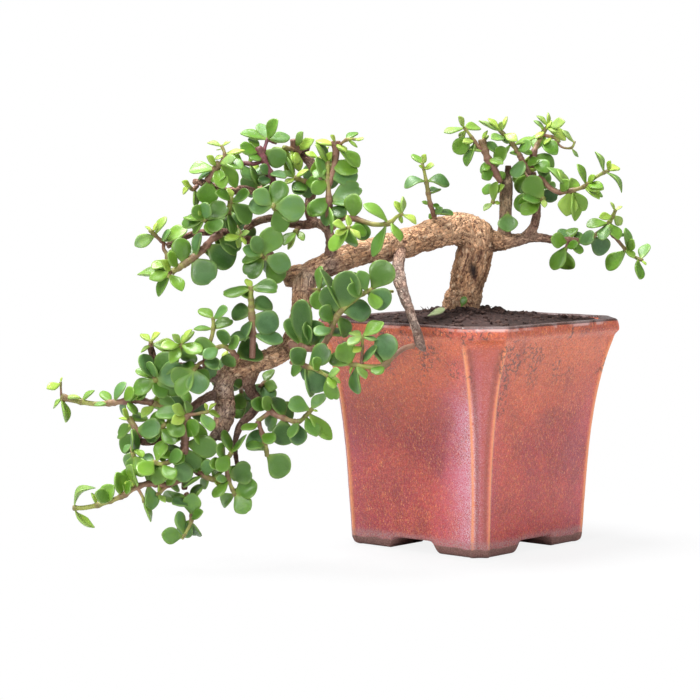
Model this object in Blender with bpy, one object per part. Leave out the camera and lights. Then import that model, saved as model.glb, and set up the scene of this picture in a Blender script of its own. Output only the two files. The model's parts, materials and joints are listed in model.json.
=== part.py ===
"""Elephant bush bonsai in a square glazed pot, in metres, +Z up, seen from the front along +Y."""

import math

import bmesh
import bpy
import numpy as np
from mathutils import Matrix, Vector
from mathutils.bvhtree import BVHTree

MM = 0.001

# Driving dimensions of the pot, in millimetres.
POT_HEIGHT = 141.2
RIM_HALF = 75.0
BASE_HALF = 53.3
BASE_FLARE = 6.4
WALL_SWEEP = 3.8
LIP_HEIGHT = 7.5
LIP_STEP = 1.2
WALL = 5.0
FLOOR_TOP = 14.0
FOOT_HEIGHT = 7.5
ARCH_AT_FLOOR = 40.0
ARCH_AT_TOP = 29.0
DRAIN_RADIUS = 6.0
POT_TURN = 48.9
CORNER_FOOT = 6.3
CORNER_RIM = 27.2
RIB_WIDTH = 4.0
RIB_RISE = 1.0

# Soil, in millimetres.
GAP = 0.3
SOIL_EDGE = 140.1
SOIL_CROWN = 149.5
ROOT_AT = (-4.5, 0.0)
ROOT_POCKET = 15.6
ROOT_BOTTOM = 130.0

# Leaves, in millimetres.
LEAF_THICK = 2.1
LEAF_WIDEST = 14.2
LEAF_WIDTH = 0.86
GROWN_LEAF = 14.5
LEAF_RING = 6
SMALL_LEAF = 11.5
CLEARANCE = 0.35
GOLDEN_TURN = 2.39996

# Wood: each limb is a list of points (x, y, z, radius) in millimetres, from thick to thin.
LIMBS = {
    "trunk": [
        (-4.5, 0, 131, 15), (-4.5, 0, 141, 14.2), (-4, 0, 148, 12.4), (-1.5, 0, 158, 11), (1, 0, 168, 10.8),
        (3.5, 0, 178, 11.2), (5, 0, 187, 12.2), (3, -1, 195, 12.2), (1.8, -2, 199.6, 8.6),
    ],
    "main": [
        (5, 0, 192, 11.6), (-6, -4, 196.7, 10.5), (-16, -12, 195.2, 9), (-28, -24, 192.2, 8.9),
        (-40, -38, 188.8, 8.8), (-52, -50, 186, 7.9), (-64, -58, 184.6, 7.4), (-76, -66, 181, 7.4),
        (-88, -73, 176.5, 7.5), (-99, -79, 170.4, 7.1), (-101.5, -84, 160, 6.4), (-103, -88, 148, 5.8),
        (-106, -91, 137, 5.6), (-112, -93, 128, 5.6), (-121, -94, 122.8, 6), (-132, -95, 118.5, 6),
        (-143, -96, 115.5, 5.8), (-148, -96, 108, 5.8), (-147.5, -96, 99, 6.2), (-147.5, -96, 90, 6.4),
        (-149.5, -97, 82, 5), (-151.5, -98, 75, 2.4),
    ],
    "knob": [
        (-99, -79, 171.5, 6.5), (-107, -80, 170.5, 6.4), (-113, -80, 169, 5),
    ],
    "thin": [
        (-131, -95, 117, 5), (-133.5, -95, 108, 4), (-131, -95, 102, 3.2), (-127.5, -94, 97, 2.9),
        (-131, -94, 91, 2.6), (-137, -95, 85, 2.4), (-140.5, -95, 78, 2), (-141.5, -95, 69, 1.7),
        (-140, -95, 58, 1.3),
    ],
    "front_twig": [
        (-43, -42, 188, 3.6), (-44, -50, 181, 3.7), (-44.8, -58, 174, 3.9), (-43.8, -65, 167, 3.9),
        (-41.5, -70, 159, 3.2), (-38.5, -74, 151, 2.9), (-36, -77, 143.5, 2.9), (-33.5, -79, 136, 3),
        (-32, -80, 130, 3.2), (-29.5, -80, 127, 1.6),
    ],
    "right": [
        (10, 0, 190.5, 8), (20, 1, 188.3, 5.8), (30, 1, 189.5, 4.2), (38, 1, 191, 3.3), (46, 0, 191, 2.8),
        (54, 0, 189.5, 2.3),
    ],
    "stub": [
        (22, 2, 190, 4), (23.3, 3, 200, 4.1), (23.8, 4, 214, 4.2), (24.2, 4, 227, 3.9), (25, 4, 229, 2.4),
        (25.2, 4, 236, 2.1),
    ],
    "riser": [
        (36, 1, 191.5, 3.6), (41.2, 1, 198, 3), (43, 1, 208, 2.7), (42, 1, 216, 2.5), (41, 1, 225, 2.2),
        (40.5, 1, 232, 2),
    ],
    "crown_low": [
        (-86, -72, 180, 3.6), (-85, -75, 190, 3.1), (-86.5, -77, 197, 2.8), (-92, -79, 202, 2.8),
        (-101, -80, 201, 2.7), (-109, -81, 202, 2.6), (-120, -83, 205, 2.5), (-131, -85, 202, 2.4),
        (-135.5, -86, 198, 2.2),
    ],
    "crown_mid": [
        (-95, -79, 201.5, 2.9), (-98, -78, 211, 2.9), (-96, -77, 221, 2.8), (-93.5, -77, 230, 2.9),
        (-97, -78, 238, 3.1), (-101, -79, 243, 3.3), (-98.5, -79, 250.5, 2.6),
    ],
    "crown_left": [
        (-109, -81, 202, 2.5), (-113, -82, 212, 2.6), (-125, -84, 218.5, 2.5), (-136, -86, 222, 2.5),
        (-146, -87, 221, 2.3), (-155, -88, 224, 2.2), (-160, -89, 226, 2.1), (-166, -90, 226.5, 2),
    ],
    "west": [
        (-110, -80, 170, 4), (-119, -82, 181, 3), (-128, -84, 189.5, 2.7), (-137, -87, 193.5, 2.5),
        (-147, -89, 197, 2.3), (-158, -91, 197, 2.1), (-166, -93, 196, 1.9), (-174, -95, 192.5, 1.8),
        (-181, -97, 189, 2),
    ],
    "low_west": [
        (-149, -96, 112, 4.5), (-157, -97, 113, 3), (-166, -98, 118, 2.6), (-176, -99, 118, 2.3),
        (-185, -100, 113, 2.2), (-188, -100, 121, 2), (-191, -100, 131, 2.2),
    ],
    "low_mid": [
        (-148, -96, 103, 4), (-158, -98, 100, 2.6), (-167, -99, 94, 2.3), (-176, -100, 84, 2.2),
        (-184, -101, 77, 2.3), (-193, -101, 74, 2.4), (-205, -101, 77, 1.6),
    ],
    "low_down": [
        (-149, -97, 84, 3.6), (-156, -99, 74, 2.4), (-163, -100, 64, 2.2), (-170, -101, 56, 2),
        (-171, -101, 46, 1.9),
    ],
}

# Shoots: stems as limbs, and leaves as (x, z of the node, x, z of the tip), then where they aren't usual
# the share of the blade's width that shows in front view, and how far the blade arches.
SHOOTS = {
    "saddle": ([
        [
            (-21, -17, 200, 1.5), (-22, -20, 206, 1.4), (-24.5, -23, 213, 1.4), (-26.5, -24, 224, 1.3),
            (-28.5, -25, 234, 0.8), (-29.5, -25, 238, 0.6),
        ],
    ], [
        (-22, 206, -17, 210), (-22, 206, -25.5, 204), (-23, 207, -10, 206.5, 0.25),
        (-24, 212, -29.5, 214, 0.45), (-24, 212, -18.5, 211, 0.45), (-26.5, 226, -40.5, 223.5, 0.35, 0.16),
        (-26.5, 226, -12.5, 225, 0.35, 0.16), (-28.5, 234, -22.5, 236.5, 0.6),
        (-28.5, 234, -31.5, 236, 0.6), (-29, 237, -35, 243, 0.6), (-29, 237, -27, 243, 0.7),
        (-25, 219, -19, 222, 0.6),
    ]),
    "east_reach": ([
        [
            (-84, -80, 199, 1.6), (-78, -82, 205, 1.6), (-70, -83, 204.5, 1.5), (-60, -84, 201.5, 1.5),
            (-51, -84, 202, 1.3), (-46, -84, 206, 1), (-42.5, -84, 207.5, 0.8),
        ],
    ], [
        (-51, 202, -66, 213, 0.35, 0.1), (-52, 200, -62, 183, 0.4, -0.06), (-48, 201, -43.5, 192, 0.6),
        (-43, 207, -42, 218, 0.4), (-43, 207, -48, 215, 0.35), (-43, 207, -34.5, 201.5, 0.45, 0.1),
        (-43, 206, -43.5, 202, 0.7), (-72, 205, -71, 219), (-70, 204, -65, 192),
    ]),
    "east_rise": ([
        [
            (-87, -80, 204, 1.8), (-86, -84, 213, 1.7), (-86.5, -86, 222, 1.6), (-87, -87, 230, 1.4),
            (-86.5, -87, 239, 1.1),
        ],
        [(-86.5, -86, 224, 1.8), (-83.5, -85, 234, 1.9), (-82, -85, 243, 2.2), (-82, -85, 250.5, 2.1)],
        [(-82, -85, 246, 0.9), (-76, -85, 251, 0.9), (-70, -85, 251.5, 0.7)],
        [(-86.5, -86.8, 235, 1), (-90, -85, 239, 0.9), (-92.5, -84, 240.5, 0.8)],
    ], [
        (-87, 227, -96, 221), (-86.5, 230, -69, 230), (-86.5, 238, -69, 232), (-87, 237, -93, 250, 0.6),
        (-87, 236, -95, 229, 0.7), (-86.5, 239, -85, 244, 0.6), (-86, 215, -67, 224, 0.8),
        (-86, 214, -69, 217, 0.5), (-86, 214, -99, 208), (-86, 211, -84, 202), (-85, 212, -83, 197, 0.5),
        (-82, 248, -94, 250.5, 0.35), (-81, 247, -68, 235.5, 0.5), (-82, 250, -85, 254, 0.6),
        (-76, 251, -70, 256.5, 0.6), (-71, 251.5, -65.5, 251.5, 0.6), (-75, 251, -69, 247, 0.4),
        (-85, 211, -76, 207, 0.9), (-82, 249, -76, 244, 0.6), (-92.5, 240, -94, 228.5, 0.8),
        (-92.5, 240, -86, 247, 0.5), (-92, 240, -100, 244, 0.5), (-90.8, 226.4, -94.3, 240.5, 0.55),
        (-84.9, 217.6, -96.7, 207.5, 0.9), (-82.6, 212.2, -88.5, 201, 0.8), (-86, 237.5, -93.7, 248.7, 0.6),
    ]),
    "east_low": ([
        [(-84, -80.5, 193.5, 1.3), (-79.5, -89, 196.5, 1.2), (-74, -94, 200, 1)],
    ], [
        (-74, 200, -85, 186, 0.6), (-74, 199, -72, 188, 0.8), (-74, 201, -67.5, 193.5, 0.4),
        (-75, 201, -64, 197, 0.9), (-76, 200, -83, 203, 0.6), (-76, 200, -82, 195, 0.6),
        (-74, 201, -75, 207, 0.6),
    ]),
    "crown_face": ([
        [(-112, -85, 205, 1.6), (-116, -92, 209, 1.5), (-119, -98, 213, 1.3)],
    ], [
        (-119, 213, -133, 212), (-119, 213, -113, 227), (-118, 213, -100, 211, 1.3),
        (-118, 211, -112.5, 197, 1.05), (-119, 214, -130, 221), (-117, 210, -103, 205),
    ]),
    "crown_sprout": ([
        [(-103, -82, 243, 2.2), (-106, -82, 246, 2.4), (-107, -82, 251.5, 2.2)],
        [(-105, -83, 245, 1), (-113, -84, 246.5, 1.4)],
    ], [
        (-105, 247, -102, 256, 0.6), (-104, 245, -95, 251.5, 0.45), (-105, 244, -105, 237, 0.7),
        (-111, 246, -107, 230, 0.5), (-112, 246, -111, 229, 0.6), (-109, 246, -103, 233, 0.6),
        (-112, 246, -121, 241),
    ]),
    "purple": ([
        [(-114, -85, 215, 2.5), (-119, -86, 226, 2.3), (-123, -87, 236, 2.1), (-128, -87, 247, 2)],
        [(-125, -87, 243, 1.1), (-122, -87, 252, 0.9)],
        [(-122, -87, 251, 0.8), (-117, -87, 249, 0.7)],
        [(-124.2, -87, 239.5, 1.2), (-130, -84, 237, 1.2), (-137, -81, 237.5, 1.1), (-142, -80, 236, 0.9)],
    ], [
        (-122, 252, -138, 255.5, 0.35), (-122, 252, -127, 261, 0.9), (-122, 252, -117, 263, 0.7),
        (-122, 252, -109, 253.5, 0.8), (-119, 250, -113, 250, 0.4), (-127, 244, -139, 246.5, 0.7),
        (-128, 245, -132.5, 251.5, 0.6), (-126, 240, -133, 241, 0.6), (-121, 232, -112, 230, 0.6),
        (-119, 226, -129, 219), (-120, 229, -127, 226, 0.7), (-122, 244, -111.5, 238, 1),
        (-121, 231, -126, 236, 0.7), (-137, 238, -143.5, 243, 0.6), (-134, 237.5, -128, 244, 0.5),
        (-133, 237, -126.5, 224, 0.4), (-142, 236, -147.5, 227, 0.8), (-138, 237, -132, 227, 0.8),
        (-141, 236, -148, 237, 0.6), (-121, 232, -130, 232, 0.6),
    ]),
    "crown_gap": ([
        [(-96, -81, 224, 1.6), (-101, -86, 227, 1.4), (-107, -88, 229, 1.2)],
    ], [
        (-98, 226, -107, 220), (-107, 229, -98, 234, 0.5), (-106, 229, -113, 233, 0.5),
        (-104, 228, -96, 218), (-107, 229, -112, 225, 0.8), (-100, 227, -92, 226),
        (-108.4, 227.6, -111.9, 242.8, 0.45), (-96.7, 227, -107.3, 221.7, 0.85),
    ]),
    "nw_tip": ([
        [(-157, -91, 227, 1.9), (-153, -92, 233, 1.8), (-150, -93, 238, 1.8)],
        [(-150.5, -93, 236, 1), (-147, -94, 242, 0.9), (-149, -94, 248, 0.7)],
    ], [
        (-152, 236, -158, 241.5, 0.6), (-147, 243, -135, 244, 0.4), (-147, 242, -153, 240, 0.5),
        (-149, 248, -157, 250.5, 0.5), (-149, 248, -144, 250.5, 0.5), (-148, 246, -152, 245, 0.5),
        (-150, 237, -139, 224, 0.7), (-148, 240, -137, 235, 0.7), (-153, 235, -168, 233, 0.45),
        (-154, 233, -163, 229.5, 0.7), (-152, 234, -148, 224), (-156, 228, -158, 213, 1.1),
        (-157, 228, -147, 230, 0.8), (-151, 237, -141, 241, 0.6),
    ]),
    "nw_end": ([
        [(-163, -91, 224.5, 1.2), (-166, -93, 222, 1), (-168, -94, 224.5, 0.8)],
    ], [
        (-164, 223, -164, 211, 0.5), (-168, 224, -172, 219.5, 0.6), (-166, 223, -172, 227, 0.6),
    ]),
    "nw_face": ([
        [(-151, -92, 199, 1.5), (-155, -97, 202, 1.4), (-159, -102, 205, 1.2)],
    ], [
        (-159, 206, -165, 212), (-158, 206, -145, 213, 0.7), (-158, 204, -148, 199, 0.9),
        (-159, 204, -172, 203, 0.7), (-160, 207, -171, 206, 0.3), (-158, 203, -155, 196, 0.8),
        (-160, 203, -166, 198.5, 0.8), (-159, 206, -157, 214, 0.9), (-157.1, 205, -161.8, 213.1, 0.9),
    ]),
    "pink_stub": ([
        [(-139, -89, 196, 1.4), (-145, -93, 206, 1.5), (-143, -94, 217, 1.5)],
    ], [
        (-143.5, 216, -151.5, 221, 0.6), (-143, 216, -145, 223, 0.6), (-143, 215, -133, 220, 0.6),
        (-142.5, 215, -132, 202.5, 0.6), (-144.5, 208, -144, 197, 0.7), (-145, 207, -151, 213, 0.8),
        (-144, 210, -134, 211, 0.8), (-144.7, 208.3, -142.4, 196, 0.55),
    ]),
    "yellow_bud": ([
        [(-135.5, -90, 194.5, 1.1), (-138, -98, 195, 1)],
    ], [
        (-139, 195, -147, 193, 0.6), (-139, 196, -143, 200, 0.6), (-138, 195, -134.5, 190.5, 0.6),
        (-139, 195, -139, 188, 0.7), (-138, 196, -133, 198, 0.7),
    ]),
    "red_reach": ([
        [
            (-149, -92, 195.5, 1.8), (-154, -95, 193.5, 1.8), (-158, -97, 189, 1.8), (-163, -99, 184, 1.8),
            (-170, -101, 179, 1.8), (-178, -102, 174, 1.7),
        ],
        [(-178, -102, 175, 0.9), (-180, -103, 171, 0.8)],
    ], [
        (-151, 195, -139, 185, 0.8), (-157, 189, -142, 178, 1.2), (-166, 182, -154, 168, 1.2),
        (-160, 187, -152, 183, 0.7), (-171, 179, -172.5, 194), (-165, 183, -161, 197, 0.6),
        (-169, 180, -163, 190, 0.8), (-179, 173, -171.5, 163.5, 0.7), (-179, 173, -186.5, 160, 0.6),
        (-178, 175, -189, 178, 0.7), (-178, 174, -183, 181, 0.7), (-180, 173, -198, 173, 0.45),
        (-179, 174, -191, 170, 0.8), (-174, 177, -180, 185, 0.7), (-153, 193, -147, 187, 0.8),
    ]),
    "far_west": ([
        [(-182.5, -99, 191, 1.1), (-186, -100, 194, 1.1), (-190.5, -101, 198.5, 1)],
        [
            (-182.5, -99.2, 191, 1.1), (-182.5, -101, 187.5, 1.1), (-180.5, -101.5, 184, 1.2),
            (-180.5, -101, 179, 1.1),
        ],
    ], [
        (-188, 195, -199.5, 190, 0.9), (-187, 196, -182, 207, 0.4), (-184, 192, -169, 199, 0.7),
        (-190, 198, -193, 201, 0.6), (-189, 197, -186, 203, 0.5), (-180.5, 181, -189, 176, 0.8),
        (-180.5, 183, -174, 187, 0.8), (-184, 192, -179, 198, 0.7),
    ]),
    "knob_leaves": ([
        [(-120.5, -87, 179, 1.5), (-124, -94, 182.5, 1.4)],
        [(-124, -93, 182, 1), (-126, -96, 184, 0.9)],
    ], [
        (-124, 184, -117, 200, 1.2), (-125, 183, -137.5, 181.5, 0.7), (-124, 182, -108.5, 177, 1.1),
        (-124, 181, -120.5, 171, 0.8), (-125, 181, -135, 171, 0.9), (-125, 184, -130, 194, 0.9),
        (-122, 181, -128, 176, 0.8), (-123, 180, -114, 168, 0.9), (-125, 184, -136, 188, 0.7),
    ]),
    "inner_east": ([
        [(-104, -82, 199, 1.3), (-106, -88, 197, 1.2)],
    ], [
        (-105, 198, -101, 192), (-106, 197, -110, 186.5, 0.5), (-106, 198, -113, 190, 0.7),
        (-108.4, 198.8, -100.8, 192.3, 0.6),
    ]),
    "west_mast": ([
        [
            (-131, -101, 124, 1.9), (-130.5, -103, 136, 1.8), (-131, -103, 148, 1.7),
            (-131.5, -103, 158, 1.5), (-131.5, -103, 166, 1.2),
        ],
    ], [
        (-131.5, 164, -148.5, 162, 0.5), (-131.5, 164, -134, 170.5, 0.8), (-131.5, 165, -115.5, 164.5, 0.6),
        (-131, 154, -119, 156.5, 0.8), (-131, 148, -115.5, 142, 1.1), (-131, 147, -136.5, 134, 0.45),
        (-131, 150, -143, 151, 0.9), (-131, 138, -113, 132.5, 0.45), (-131, 137, -144.5, 135, 0.5),
        (-131, 158, -139, 166, 0.7),
    ]),
    "mast_foot": ([
        [(-140, -101, 124, 1.5), (-143, -104, 128, 1.4), (-147, -106, 131, 1.2), (-152, -107, 130, 1)],
    ], [
        (-140, 124, -126, 130, 1.2), (-142, 127, -146.5, 118.5, 1.1), (-147, 131, -147, 141),
        (-151, 130, -165, 131.5, 0.8), (-150, 130, -159, 124, 0.8), (-145, 130, -138, 135, 0.8),
    ]),
    "gate": ([
        [
            (-159, -100, 117.5, 1.4), (-158, -104, 126, 1.3), (-154, -105, 138, 1.2),
            (-153.5, -105, 148, 0.9),
        ],
        [(-158.2, -102.8, 122, 1.2), (-162, -105.5, 120.5, 1.1), (-165, -108, 116.5, 1)],
    ], [
        (-154, 141, -165, 141.5, 0.35), (-153, 147, -161, 153, 0.6), (-153, 147, -146, 153, 0.6),
        (-154, 141, -143, 147, 0.7), (-158, 125, -152, 118, 0.9), (-158, 127, -168, 131, 0.5),
        (-158, 121, -154, 112, 0.9), (-165, 117, -161.5, 103, 1.2), (-165, 116.5, -178, 111, 1.1),
        (-164.5, 117, -156, 110, 0.7), (-165, 116.5, -174, 102, 0.9), (-164, 118, -172, 121, 0.7),
    ]),
    "west_gable": ([
        [(-176, -103, 121, 1.4), (-174, -106, 127, 1.3), (-172, -107, 133, 1.1)],
    ], [
        (-172, 133, -177, 138, 0.8), (-172, 132, -165, 140, 0.6), (-173, 131, -178, 122, 1),
        (-172, 130, -164, 121, 1), (-173, 132, -184, 131, 0.6), (-172, 132, -160, 128, 0.7),
        (-174, 128, -180, 116, 0.9), (-169.3, 132.9, -165.8, 141, 0.5),
    ]),
    "west_post": ([
        [(-188, -103, 112, 1.4), (-187, -107, 111, 1.2)],
    ], [
        (-187, 112, -200.5, 103.5, 0.9), (-187, 112, -178, 127, 0.9), (-189, 111, -196, 125.5, 0.6),
        (-186, 111, -170, 117, 1.1), (-186, 110, -172, 105, 1), (-188, 111, -183, 101, 0.9),
        (-188, 112, -199, 117.5, 0.5), (-187, 113, -190, 121, 0.7),
    ]),
    "post_top": ([
        [(-190, -103, 131.5, 1.2), (-190, -105, 134, 1)],
    ], [
        (-190, 132, -175.5, 130, 0.8), (-190, 134, -196, 138, 0.6), (-190, 134, -186, 139, 0.6),
        (-190, 132, -196, 127, 0.4), (-188.9, 131.4, -174.9, 130.2, 0.5),
    ]),
    "west_reach": ([
        [
            (-189, -103, 97, 1.7), (-197, -104, 99, 1.7), (-206, -105, 98.5, 1.6), (-214, -105, 97.5, 1.6),
            (-223, -105, 97, 1.5), (-232, -105, 98.5, 1.6), (-240, -106, 100.5, 2), (-243, -106, 101, 1.6),
        ],
        [(-242.5, -106, 102, 0.7), (-242.8, -106, 110, 0.6)],
        [(-178, -101, 90, 1.8), (-189, -103, 97, 1.7)],
    ], [
        (-241, 101, -231, 101.5, 0.45), (-231, 99, -223.5, 105.5, 0.4), (-215, 98.5, -223.5, 96.5, 0.3),
        (-214, 98, -218.5, 104.5, 0.6), (-212, 101, -205.5, 110, 0.45, 0.08), (-206, 99, -201, 106, 0.8),
        (-243, 100.5, -247.5, 94.5, 0.38), (-242.5, 99.5, -239.4, 86.2, 0.32),
        (-242.8, 109, -251, 106, 0.8), (-242.8, 110, -242, 113, 0.5), (-204, 99, -198, 103, 0.7),
        (-205, 98, -207.5, 91, 0.6), (-203, 98, -200, 91, 0.7), (-199, 99, -192.5, 105, 0.6),
        (-194, 98, -176, 95, 0.6), (-196, 99, -203, 103, 0.5), (-190, 97, -180, 102, 0.9),
        (-188, 96, -196, 89, 0.8), (-184, 93, -175, 88, 0.9),
    ]),
    "west_tuft": ([
        [(-196, -103, 77, 1.4), (-199, -105, 82, 1.4), (-203, -106, 89, 1.5)],
    ], [
        (-199, 82, -184, 82, 0.9), (-201, 84, -210, 78.5, 0.6), (-200, 82, -201, 70, 0.7),
        (-202, 87, -193, 91, 0.7), (-202, 88, -209, 89, 0.5), (-203, 89, -207, 94, 0.6),
        (-201, 86, -205, 82, 0.6), (-202, 76.2, -208, 69.2, 0.6),
    ]),
    "west_under": ([
        [(-200.5, -104, 73.5, 1.3), (-201, -107, 70, 1.2), (-200, -108, 66, 1)],
    ], [
        (-201, 74, -207, 69, 0.4), (-200, 69, -205, 60, 0.9), (-200, 67, -193, 55, 1),
        (-200, 67, -202, 54, 0.9), (-201, 71, -195, 66, 0.8),
    ]),
    "yellow_post": ([
        [(-171, -104, 68, 2.1), (-170, -107, 80, 2), (-169, -108, 91.5, 2)],
        [(-169, -108, 90.5, 1.1), (-160, -109, 92, 1), (-156, -109, 93, 0.8)],
        [(-170.6, -105, 72, 1.5), (-175, -107, 66, 1.3), (-183, -108, 62, 1.2), (-189, -108.5, 63.5, 1)],
    ], [
        (-169.5, 92, -178, 86, 0.9), (-169, 92, -168, 99.5, 0.7), (-160, 92, -155, 81, 0.8),
        (-156, 93, -149, 91, 0.6), (-157, 93, -158.5, 98, 0.5), (-157, 93, -152, 98, 0.5),
        (-169, 90, -158.5, 74, 0.4), (-170, 74, -151, 70.5, 1.1), (-170.5, 71, -165, 57, 1.2),
        (-170, 78, -181, 77, 0.9), (-170, 77, -163, 87, 0.9), (-170.5, 70, -187, 67, 0.5),
        (-171, 69, -177, 61, 0.9), (-169, 92, -178, 96, 0.6), (-183, 62, -188, 49.5, 0.95),
        (-183, 62, -177, 53, 0.6), (-182, 62, -187, 71, 0.6), (-180, 63, -172.5, 69, 0.7),
        (-189, 63, -197, 56, 0.8), (-189, 64, -197, 67, 0.6), (-176, 65, -168, 52, 0.8),
        (-170.1, 93.1, -187.6, 92.5, 0.5), (-186.5, 64.4, -182.4, 76.1, 0.8),
        (-175.5, 65.4, -186.6, 69.5, 0.45),
    ]),
    "heart": ([
        [(-150, -103, 66, 1.2), (-145, -106, 66, 1.2), (-143, -107, 69, 1.1)],
        [(-147, -105, 65, 1.3), (-145, -106, 53, 1.2), (-141, -106, 43, 1)],
    ], [
        (-144, 67, -151, 58, 1), (-143, 69, -147, 82, 0.6), (-143, 69, -134, 79, 0.35),
        (-144, 55, -131, 58, 1.1), (-141, 43, -128.5, 50, 1.2), (-141, 42, -133, 33, 1.1),
        (-142, 44, -149.5, 38, 0.9), (-145, 52, -154.5, 43.5, 0.8), (-145, 53, -152, 53, 0.8),
        (-146, 60, -137, 54, 0.9), (-146, 62, -156, 61, 0.9), (-142, 47, -134, 41, 0.7),
        (-147, 64, -150.5, 73, 0.7),
    ]),
    "deep_mid": ([
        [(-166, -103, 58, 1.5), (-158, -105, 54, 1.4), (-152, -106, 52, 1.2)],
    ], [
        (-158, 54, -157, 64, 1), (-154, 53, -149, 49, 0.7), (-160, 55, -172, 49, 0.5),
        (-156, 53, -162, 48, 0.8), (-163, 56, -160, 68, 0.9), (-154, 52, -149, 57, 0.8),
        (-154, 54, -148, 62, 0.8), (-162, 55, -167, 62, 0.7),
    ]),
    "tail": ([
        [
            (-170, -103, 44, 1.5), (-168, -105, 40, 1.4), (-166.5, -106, 31, 1.2), (-168, -107, 25, 1),
            (-172.5, -107, 17.5, 0.8),
        ],
    ], [
        (-166.5, 31, -166, 44.5, 1.1), (-167, 40, -161, 49.5, 0.5), (-169, 42, -183.5, 43, 0.35),
        (-167, 29, -172.5, 19, 1), (-171, 20, -174.5, 34, 0.3), (-172, 19, -183.5, 20, 1),
        (-167, 28, -163.5, 19, 0.8), (-168, 39, -178, 38, 0.6), (-167, 29, -161, 34, 0.7),
        (-165.8, 42.1, -160.5, 49.7, 0.5),
    ]),
    "sw_reach": ([
        [
            (-172.5, -103, 52, 1.5), (-182, -104, 49, 1.6), (-192, -105, 50, 1.6), (-200, -106, 47.5, 1.5),
            (-206, -106, 43.5, 1.5), (-213, -107, 40.5, 1.4), (-222, -107, 37.5, 1.4),
            (-230, -107, 36, 1.4), (-236, -107, 36, 1.3),
        ],
        [(-199, -106, 49, 1), (-195, -107, 42, 0.9), (-194.5, -107, 39, 0.8)],
        [(-180, -104, 50, 1.2), (-187, -106, 43, 1)],
    ], [
        (-235.5, 36.5, -223.5, 48.5, 0.2, 0.25), (-235.5, 35.5, -222, 26, 0.2, -0.22),
        (-221, 38, -212, 49.5, 0.9), (-222, 38, -225, 45, 0.4), (-208, 43, -210, 57, 0.7),
        (-206, 44, -202, 51, 0.7), (-206, 45, -204, 59, 0.45), (-214, 40, -222, 45, 0.6),
        (-195, 40, -189.5, 28, 0.35), (-192, 50, -190, 34, 0.7), (-187, 43, -182, 40, 0.7),
        (-186, 44, -185, 52, 0.5), (-192, 50, -187, 63, 1.2), (-182, 49, -176, 56, 0.8),
        (-180, 49, -174, 46, 0.8), (-199, 49, -203, 60, 0.9), (-197, 49, -206, 51, 0.5),
        (-188, 50, -180, 60, 0.9),
    ]),
    "north_west_low": ([
        [(-186, -103, 80, 1.3), (-184, -107, 83, 1.2), (-181, -109, 86, 1)],
    ], [
        (-181, 86, -171, 80, 0.9), (-182, 86, -190, 90, 0.8), (-184, 84, -176, 74, 0.9),
        (-183, 85, -193, 77, 0.9), (-181, 87, -178, 97, 0.8), (-183, 84, -188, 77, 0.7),
        (-182, 86, -173, 92, 0.7),
    ]),
    "thin_fan": ([
        [
            (-124, -96, 96, 1.5), (-119, -98, 91, 1.5), (-110, -99, 87, 1.4), (-104, -99, 86, 1.3),
            (-100, -99, 89, 1.2), (-96, -99, 93.5, 1),
        ],
        [(-128, -98, 86, 1.4), (-125, -100, 78, 1.3), (-123, -100, 70, 1.2), (-122.5, -100, 65.5, 1)],
        [(-120, -98, 92, 1.3), (-128, -98, 86, 1.4)],
    ], [
        (-97, 93, -110, 98, 0.7), (-97, 94, -89, 103, 0.8), (-100, 89, -93, 77.5, 0.8),
        (-98, 91, -85, 75, 0.55), (-96, 93, -92.5, 92, 0.5), (-120, 92, -125, 100, 0.9),
        (-119, 91, -106.5, 92, 1.2), (-106, 87, -104, 72, 0.9), (-113, 88, -113, 72, 1),
        (-123, 69, -133, 79, 1.2), (-122.5, 66, -109.5, 56, 1.2), (-112, 89, -118, 101, 0.8),
        (-127, 85, -137, 81, 0.6), (-122, 93, -131, 98, 0.8), (-116, 90, -123, 82, 0.9),
        (-125, 79, -118, 74, 0.8), (-120, 91, -114, 99, 0.8), (-104, 86, -109, 77, 0.8),
        (-124, 73, -134, 70, 0.7),
    ]),
    "thin_back": ([
        [(-127, -91, 106, 1.2), (-124, -87, 108, 1.1)],
    ], [
        (-126, 109, -117, 105, 1.1), (-125, 109, -120, 116, 0.9), (-124, 108, -121, 97, 0.9),
        (-125, 108, -130, 99, 0.7),
    ]),
    "thin_side": ([
        [(-136, -92, 106, 1.2), (-138, -88, 104, 1.1), (-137.5, -86, 97, 1)],
    ], [
        (-138, 104, -141.5, 113, 1), (-137.5, 103, -133, 94, 1), (-138, 102, -141, 92, 0.9),
        (-137.5, 98, -131, 88, 0.9), (-137.5, 97, -140, 86, 0.8), (-138, 104, -133, 111, 0.8),
    ]),
    "chain": ([
        [
            (-109, -99, 131.5, 2), (-103, -101, 131, 1.9), (-97, -102, 129, 1.8), (-90, -101, 131, 1.8),
            (-86, -100, 137, 1.6), (-82.5, -99, 146, 1.5), (-79, -98, 151, 1.4), (-72, -96, 157, 1.3),
            (-66, -94, 161, 1.2), (-61, -91, 163.5, 1.1),
        ],
        [(-61.5, -91, 163.3, 1), (-54, -81, 161.8, 0.9), (-48.3, -69, 161, 0.9)],
    ], [
        (-61.3, 164.8, -50.8, 179.5, 1.2), (-63, 161, -50, 155, 1.1), (-79, 151, -73, 174.5, 1.25),
        (-79, 151, -61, 151.5, 0.9), (-80, 150, -89, 165, 1), (-64, 163, -68, 174, 0.8),
        (-72, 157, -80, 167, 0.9), (-84, 141, -94, 138, 0.6), (-83, 146, -92, 152, 0.7),
        (-81, 148, -75, 136.5, 0.6), (-101, 131, -102, 158, 0.9), (-102, 131, -109, 147.5, 0.8),
        (-101, 131, -97, 142, 0.7), (-99, 130, -86, 134.5, 0.8), (-84, 142, -88, 155, 0.7),
        (-66, 161, -75, 164, 0.8), (-86, 137, -77, 140, 0.6), (-79, 152, -90, 177, 0.4),
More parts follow.
